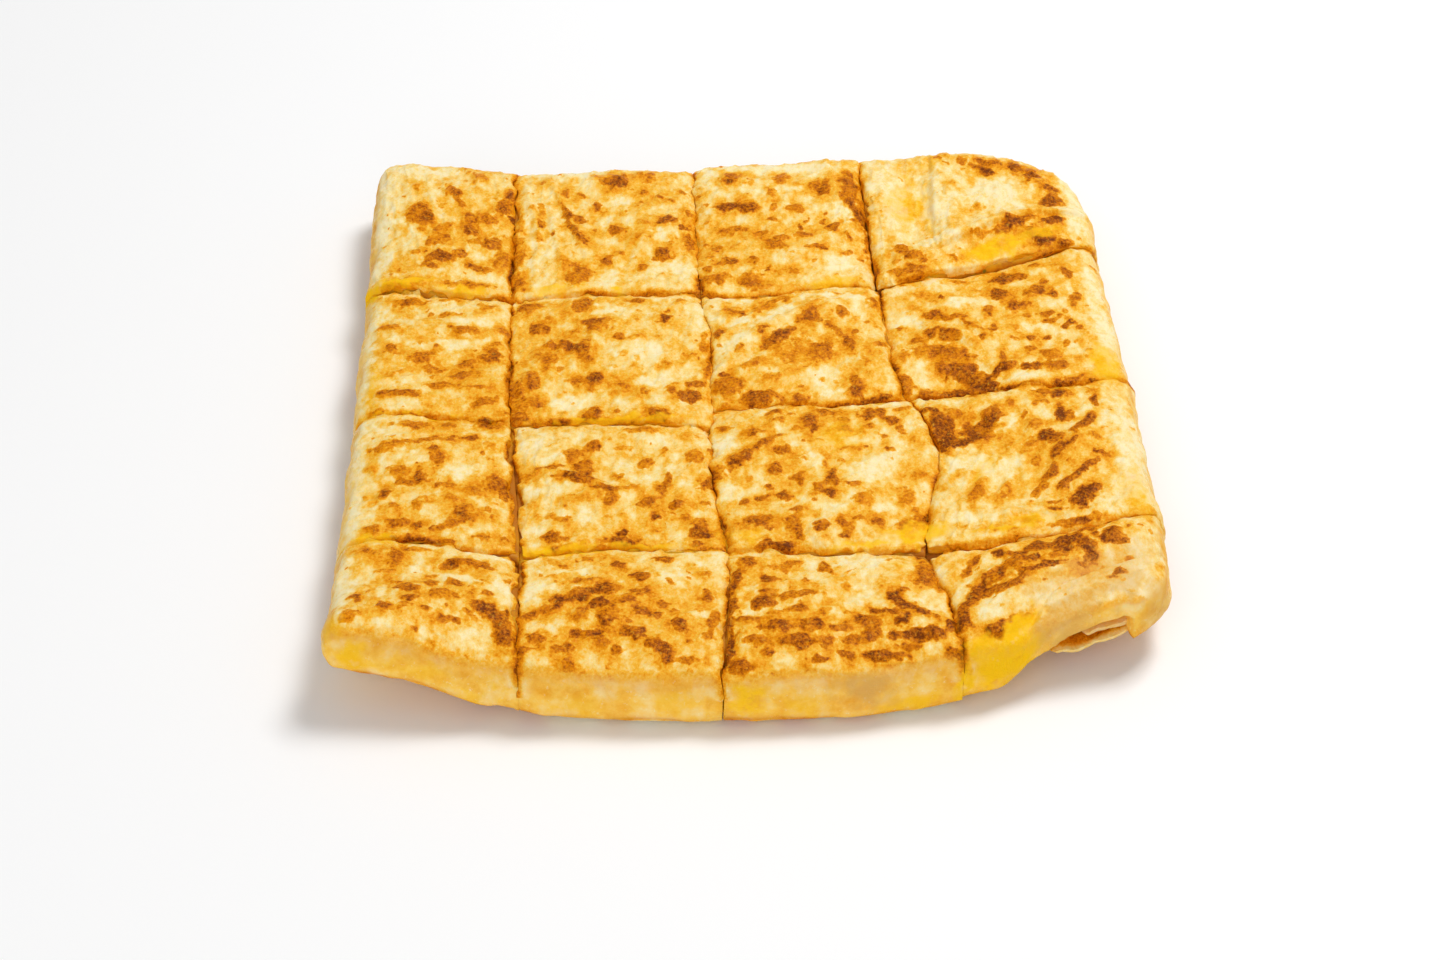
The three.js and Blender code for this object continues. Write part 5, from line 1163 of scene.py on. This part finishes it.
def set_egg():
    """Beaten egg set by the heat: moist and bright, with paler white in it and small green herb pieces."""
    egg = bpy.context.scene.murtabak_egg
    tree, place = new_material("set beaten egg")
    curds = add_node(tree, "ShaderNodeTexNoise",
                     {"Vector": place, "Scale": 1 / egg.curd_size, "Detail": 3, "Roughness": 0.6})
    colour = add_node(tree, "ShaderNodeValToRGB", {0: curds}, stops=[
        (0.3, egg.deep), (0.5, egg.yolk), (0.66, egg.yolk), (0.78, egg.white),
    ])
    spread_out = {"Vector": place, "Scale": 1 / egg.herb_spacing}
    from_herb = add_node(tree, "ShaderNodeTexVoronoi", spread_out, feature="F1")
    herb = add_node(tree, "ShaderNodeMapRange", {0: from_herb, 1: 0.06, 2: 0.1, 3: 0.7, 4: 0.0})
    yellow, browned = [
        add_node(tree, "ShaderNodeAttribute", output="Fac", attribute_name=name)
        for name in ("yellow", "browning_and_shade")
    ]
    for share, over in ((yellow, egg.yolk), (browned, egg.deep), (herb, egg.herb)):
        colour = add_node(tree, "ShaderNodeMix", {0: share, 6: colour, 7: (*over, 1)}, 2, data_type="RGBA")
    gloss = add_node(tree, "ShaderNodeMapRange", {0: curds, 1: 0.3, 2: 0.7, 3: 0.28, 4: 0.5})
    bump = add_node(tree, "ShaderNodeBump", {"Height": curds, "Strength": 0.6, "Distance": 0.4 * MM})
    add_food_surface(tree, colour, gloss, bump, spread=0.3, spread_mm=4)


def pale_floor():
    """A matt painted studio floor, nearly white, with a barely visible unevenness."""
    stage = bpy.context.scene.murtabak_stage
    tree, place = new_material("matt white studio paint")
    patch_mm = 220
    patches = add_node(tree, "ShaderNodeTexNoise",
                       {"Vector": place, "Scale": 1 / (patch_mm * MM), "Detail": 2, "Roughness": 0.5})
    dim = [0.985 * channel for channel in stage.floor]
    shades = {0: patches, 6: (*stage.floor, 1), 7: (*dim, 1)}
    colour = add_node(tree, "ShaderNodeMix", shades, 2, data_type="RGBA")
    paint = add_node(tree, "ShaderNodeBsdfPrincipled", {"Base Color": colour, "Roughness": 0.7})
    add_node(tree, "ShaderNodeOutputMaterial", {"Surface": paint})


# ---------- sizes and colours that a user would change ----------

def colour_property(name, description, hex_colour):
    """A colour setting that starts from an sRGB hex value."""
    return bpy.props.FloatVectorProperty(name=name, description=description, default=linear(hex_colour),
                                         size=3, subtype="COLOR", min=0, max=1)


class DoughSettings(bpy.types.PropertyGroup):
    skin_step: bpy.props.FloatProperty(
        name="Skin step", description="Side of the largest face on a browned top",
        default=0.55 * MM, unit="LENGTH")
    blister_height: bpy.props.FloatProperty(
        name="Blister height", description="How far a browned blister stands up, in mm", default=0.55)
    wrinkle_height: bpy.props.FloatProperty(
        name="Wrinkle height", description="How far the fine folds of the skin stand up, in mm",
        default=0.42)
    random_spots: bpy.props.IntProperty(
        name="Small spots", description="Seeded spots on each square between the named marks", default=46)
    grain_size: bpy.props.FloatProperty(
        name="Grain size", description="Size of the toasted grains in a browned mark",
        default=0.8 * MM, unit="LENGTH")
    pale: colour_property("Pale dough", "Dough that stood clear of the griddle", "#fdebb8")
    cream: colour_property("Cream dough", "Dough that is cooked and not browned", "#fbd986")
    golden: colour_property("Golden dough", "Dough that has begun to brown", "#f7ba39")
    amber: colour_property("Amber dough", "Dough browned a little", "#ec960a")
    # Also the colour toward which the painted shade in and along the cuts darkens the dough.
    toasted_and_shade: colour_property("Toasted dough", "Dough browned half way", "#d67c00")
    brown: colour_property("Brown dough", "The middle of a griddle mark", "#b35e00")
    charred: colour_property("Charred dough", "The darkest specks", "#723404")
    side_pale: colour_property("Pale side", "The palest parts of a folded side", "#ffde94")
    side_middle: colour_property("Yellow side", "A folded side with egg behind it", "#ffca55")
    side_deep: colour_property("Deep yellow side", "The deepest parts of a folded side", "#f4ac2b")
    egg_bright: colour_property("Bright egg", "Egg that shows bright through the dough", "#ffc510")
    egg_deep: colour_property("Deep egg", "Egg that shows deep yellow through the dough", "#f2a812")
    # This tan is also the painted shade on the flap folded down over the front right corner.
    wet: colour_property("Wet dough", "A wet place that the dark inside shows through", "#deac5c")


class EggSettings(bpy.types.PropertyGroup):
    curd_size: bpy.props.FloatProperty(
        name="Curd size", description="Size of the lumps of set egg", default=3.2 * MM, unit="LENGTH")
    herb_spacing: bpy.props.FloatProperty(
        name="Herb spacing", description="Distance between herb pieces", default=7 * MM, unit="LENGTH")
    yolk: colour_property("Yolk", "Set beaten egg", "#f7b81a")
    deep: colour_property("Deep yolk", "The most cooked egg", "#bd721e")
    white: colour_property("White", "Bits of egg white and onion", "#f3c45a")
    herb: colour_property("Herb", "Chopped green herb", "#5f7a24")


class StageSettings(bpy.types.PropertyGroup):
    floor: colour_property("Floor", "The pale floor", "#fbfbfb")
    camera_height: bpy.props.FloatProperty(
        name="Camera height", description="Height of the camera over the floor",
        default=0.494, unit="LENGTH")
    focal_length: bpy.props.FloatProperty(
        name="Focal length", description="Focal length in mm for a frame 36 mm wide", default=75.0)
    key_light: bpy.props.FloatProperty(
        name="Key light", description="Power of the large soft light, in watts", default=12.4)
    sky: bpy.props.FloatProperty(
        name="Room light", description="Strength of the even light from all round", default=0.41)


# ---------- operators ----------

class MURTABAK_OT_stage(bpy.types.Operator):
    """Adds the floor, the soft lights, the room and the camera"""
    bl_idname = "murtabak.stage"
    bl_label = "Add stage"

    def execute(self, context):
        stage = context.scene.murtabak_stage
        bpy.ops.object.select_all(action="DESELECT")
        floor_side = 6.0
        bpy.ops.mesh.primitive_plane_add(size=floor_side, location=(0, 0, 0))
        floor = context.object
        floor.name = "floor"
        pale_floor()
        floor.data.materials.append(bpy.data.materials["matt white studio paint"])

        fill_share = 0.4
        add_soft_light("key light", (0.5, 0.42, 1.25), 0.5, stage.key_light)
        add_soft_light("front fill", (-0.3, -1.1, 0.55), 1.0, stage.key_light * fill_share)

        world = bpy.data.worlds.new("even room light")
        context.scene.world = world
        world.use_nodes = True
        background = world.node_tree.nodes["Background"]
        background.inputs["Color"].default_value = (1, 1, 1, 1)
        background.inputs["Strength"].default_value = stage.sky

        camera = bpy.data.objects.new("camera", bpy.data.cameras.new("camera"))
        context.scene.collection.objects.link(camera)
        camera.data.lens = stage.focal_length
        film_mm = 36
        camera.data.sensor_width = film_mm
        camera.location = (-0.02815, -0.6362, stage.camera_height)
        aim = Vector((-0.0068, -0.02483, 0.006))
        camera.rotation_euler = (aim - camera.location).to_track_quat("-Z", "Y").to_euler()
        context.scene.camera = camera
        context.scene.view_settings.view_transform = "Standard"
        return {"FINISHED"}


def add_soft_light(name, place, side, power):
    """A square soft light that faces the middle of the food."""
    light = bpy.data.lights.new(name, "AREA")
    light.shape = "SQUARE"
    light.size = side
    light.energy = power
    lamp = bpy.data.objects.new(name, light)
    bpy.context.scene.collection.objects.link(lamp)
    lamp.location = place
    lamp.rotation_euler = (-Vector(place)).to_track_quat("-Z", "Y").to_euler()


class MURTABAK_OT_folded_dough(bpy.types.Operator):
    """Makes the dough of the squares round the edge, folded from the top to the underside"""
    bl_idname = "murtabak.folded_dough"
    bl_label = "Add folded dough"

    def execute(self, context):
        for square in OUTER_SQUARES:
            make_dough(f"crust_{square}", square, f"folded_dough_{square}")
        return {"FINISHED"}


class MURTABAK_OT_loose_sheets(bpy.types.Operator):
    """Makes the top and bottom sheets of the four inner squares"""
    bl_idname = "murtabak.loose_sheets"
    bl_label = "Add loose sheets"

    def execute(self, context):
        for square in INNER_SQUARES:
            for sheet in ("top", "bottom"):
                make_dough(f"crust_{sheet}_{square}", square, f"{sheet}_sheet_{square}")
        return {"FINISHED"}


class MURTABAK_OT_egg_filling(bpy.types.Operator):
    """Makes the set egg inside each square, lumpy where the cuts show it"""
    bl_idname = "murtabak.egg_filling"
    bl_label = "Add egg filling"

    def execute(self, context):
        set_egg()
        for square in SQUARES:
            make_egg(square)
        return {"FINISHED"}


class MURTABAK_OT_loose_layers(bpy.types.Operator):
    """Makes the thin layers of dough that show under the flap at the front right"""
    bl_idname = "murtabak.loose_layers"
    bl_label = "Add loose layers"

    def execute(self, context):
        # Behind its front edge each layer is painted browner, as the shade under the flap.
        shade_under_flap = 0.55
        for index, (line, thickness, brown, tan) in enumerate(LAYERS):
            bpy.ops.object.select_all(action="DESELECT")
            bpy.ops.mesh.primitive_grid_add(x_subdivisions=60, y_subdivisions=30, size=2)
            piece = context.object
            piece.name = f"dough_layer_{index + 1}"
            shape_layer(piece, 500 + 10 * index, line)
            apply_modifier(piece, "SOLIDIFY", thickness=thickness * MM, offset=0)
            apply_modifier(piece, "SUBSURF", levels=1, render_levels=1)
            place, _, _ = vertex_data(piece.data)
            line_x, line_y, _ = np.array(line).T
            behind = smoothstep(0.3, 2.0, place[:, 1] - np.interp(place[:, 0], line_x, line_y))
            write_attribute(piece.data, "browning_and_shade", brown + (shade_under_flap - brown) * behind)
            write_attribute(piece.data, "side", 0.2 * (1 - behind))
            write_attribute(piece.data, "tan_and_shade", tan * (1 - behind))
            piece.data.shade_smooth()
            piece.data.materials.append(bpy.data.materials["griddled wheat dough"])
            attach(piece, "root")
        return {"FINISHED"}


def shape_layer(piece, seed, line):
    """Bends a flat grid of side 2 into a wavy layer that runs inwards from a line."""
    place, _, _ = vertex_data(piece.data)
    along, inward = ((place[:, :2] * MM + 1) / 2).T
    deepest, lumps_at = 12, 40.0
    depth = deepest * inward ** 1.5
    line_x, line_y, line_z = np.array(line).T
    x = line_x[0] + (line_x[-1] - line_x[0]) * along
    flat = np.stack([x, depth, np.full(len(x), lumps_at)], axis=1)
    edge = flat * (1, 0, 1)
    y = np.interp(x, line_x, line_y) + depth + 3 * (1 - smoothstep(0, 0.12, along)) ** 2
    y += 0.6 * np.exp(-depth / 3) * rough_lumps(edge, 3.4, 3, seed)
    z = np.interp(x, line_x, line_z) + 0.12 * depth + 0.4 * rough_lumps(flat, 4, 3, seed + 5)
    z -= 0.6 * np.exp(-depth / 1.6) * (0.5 + 0.5 * lumps(edge, 4, seed + 9))
    move_vertices(piece.data, np.stack([x, y, z], axis=1))


class MURTABAK_PT_panel(bpy.types.Panel):
    """Lists the steps that make the murtabak, with their settings"""
    bl_idname = "MURTABAK_PT_panel"
    bl_label = "Murtabak"
    bl_space_type = "VIEW_3D"
    bl_region_type = "UI"
    bl_category = "Murtabak"

    def draw(self, context):
        for operator in OPERATORS:
            self.layout.operator(operator.bl_idname)
        for settings in SETTINGS:
            group = getattr(context.scene, settings)
            for name in group.__annotations__:
                self.layout.prop(group, name)


OPERATORS = (MURTABAK_OT_stage, MURTABAK_OT_folded_dough, MURTABAK_OT_loose_sheets,
             MURTABAK_OT_loose_layers, MURTABAK_OT_egg_filling)
SETTINGS = {
    "murtabak_dough": DoughSettings,
    "murtabak_egg": EggSettings,
    "murtabak_stage": StageSettings,
}


def register():
    for group in (*SETTINGS.values(), *OPERATORS, MURTABAK_PT_panel):
        bpy.utils.register_class(group)
    for name, group in SETTINGS.items():
        setattr(bpy.types.Scene, name, bpy.props.PointerProperty(type=group))


def unregister():
    for name in SETTINGS:
        delattr(bpy.types.Scene, name)
    for group in reversed((*SETTINGS.values(), *OPERATORS, MURTABAK_PT_panel)):
        bpy.utils.unregister_class(group)


def main():
    register()
    griddled_dough()
    cut_dough()
    bpy.ops.murtabak.stage()
    bpy.ops.murtabak.folded_dough()
    bpy.ops.murtabak.loose_sheets()
    bpy.ops.murtabak.loose_layers()
    bpy.ops.murtabak.egg_filling()


if __name__ == "__main__":
    main()
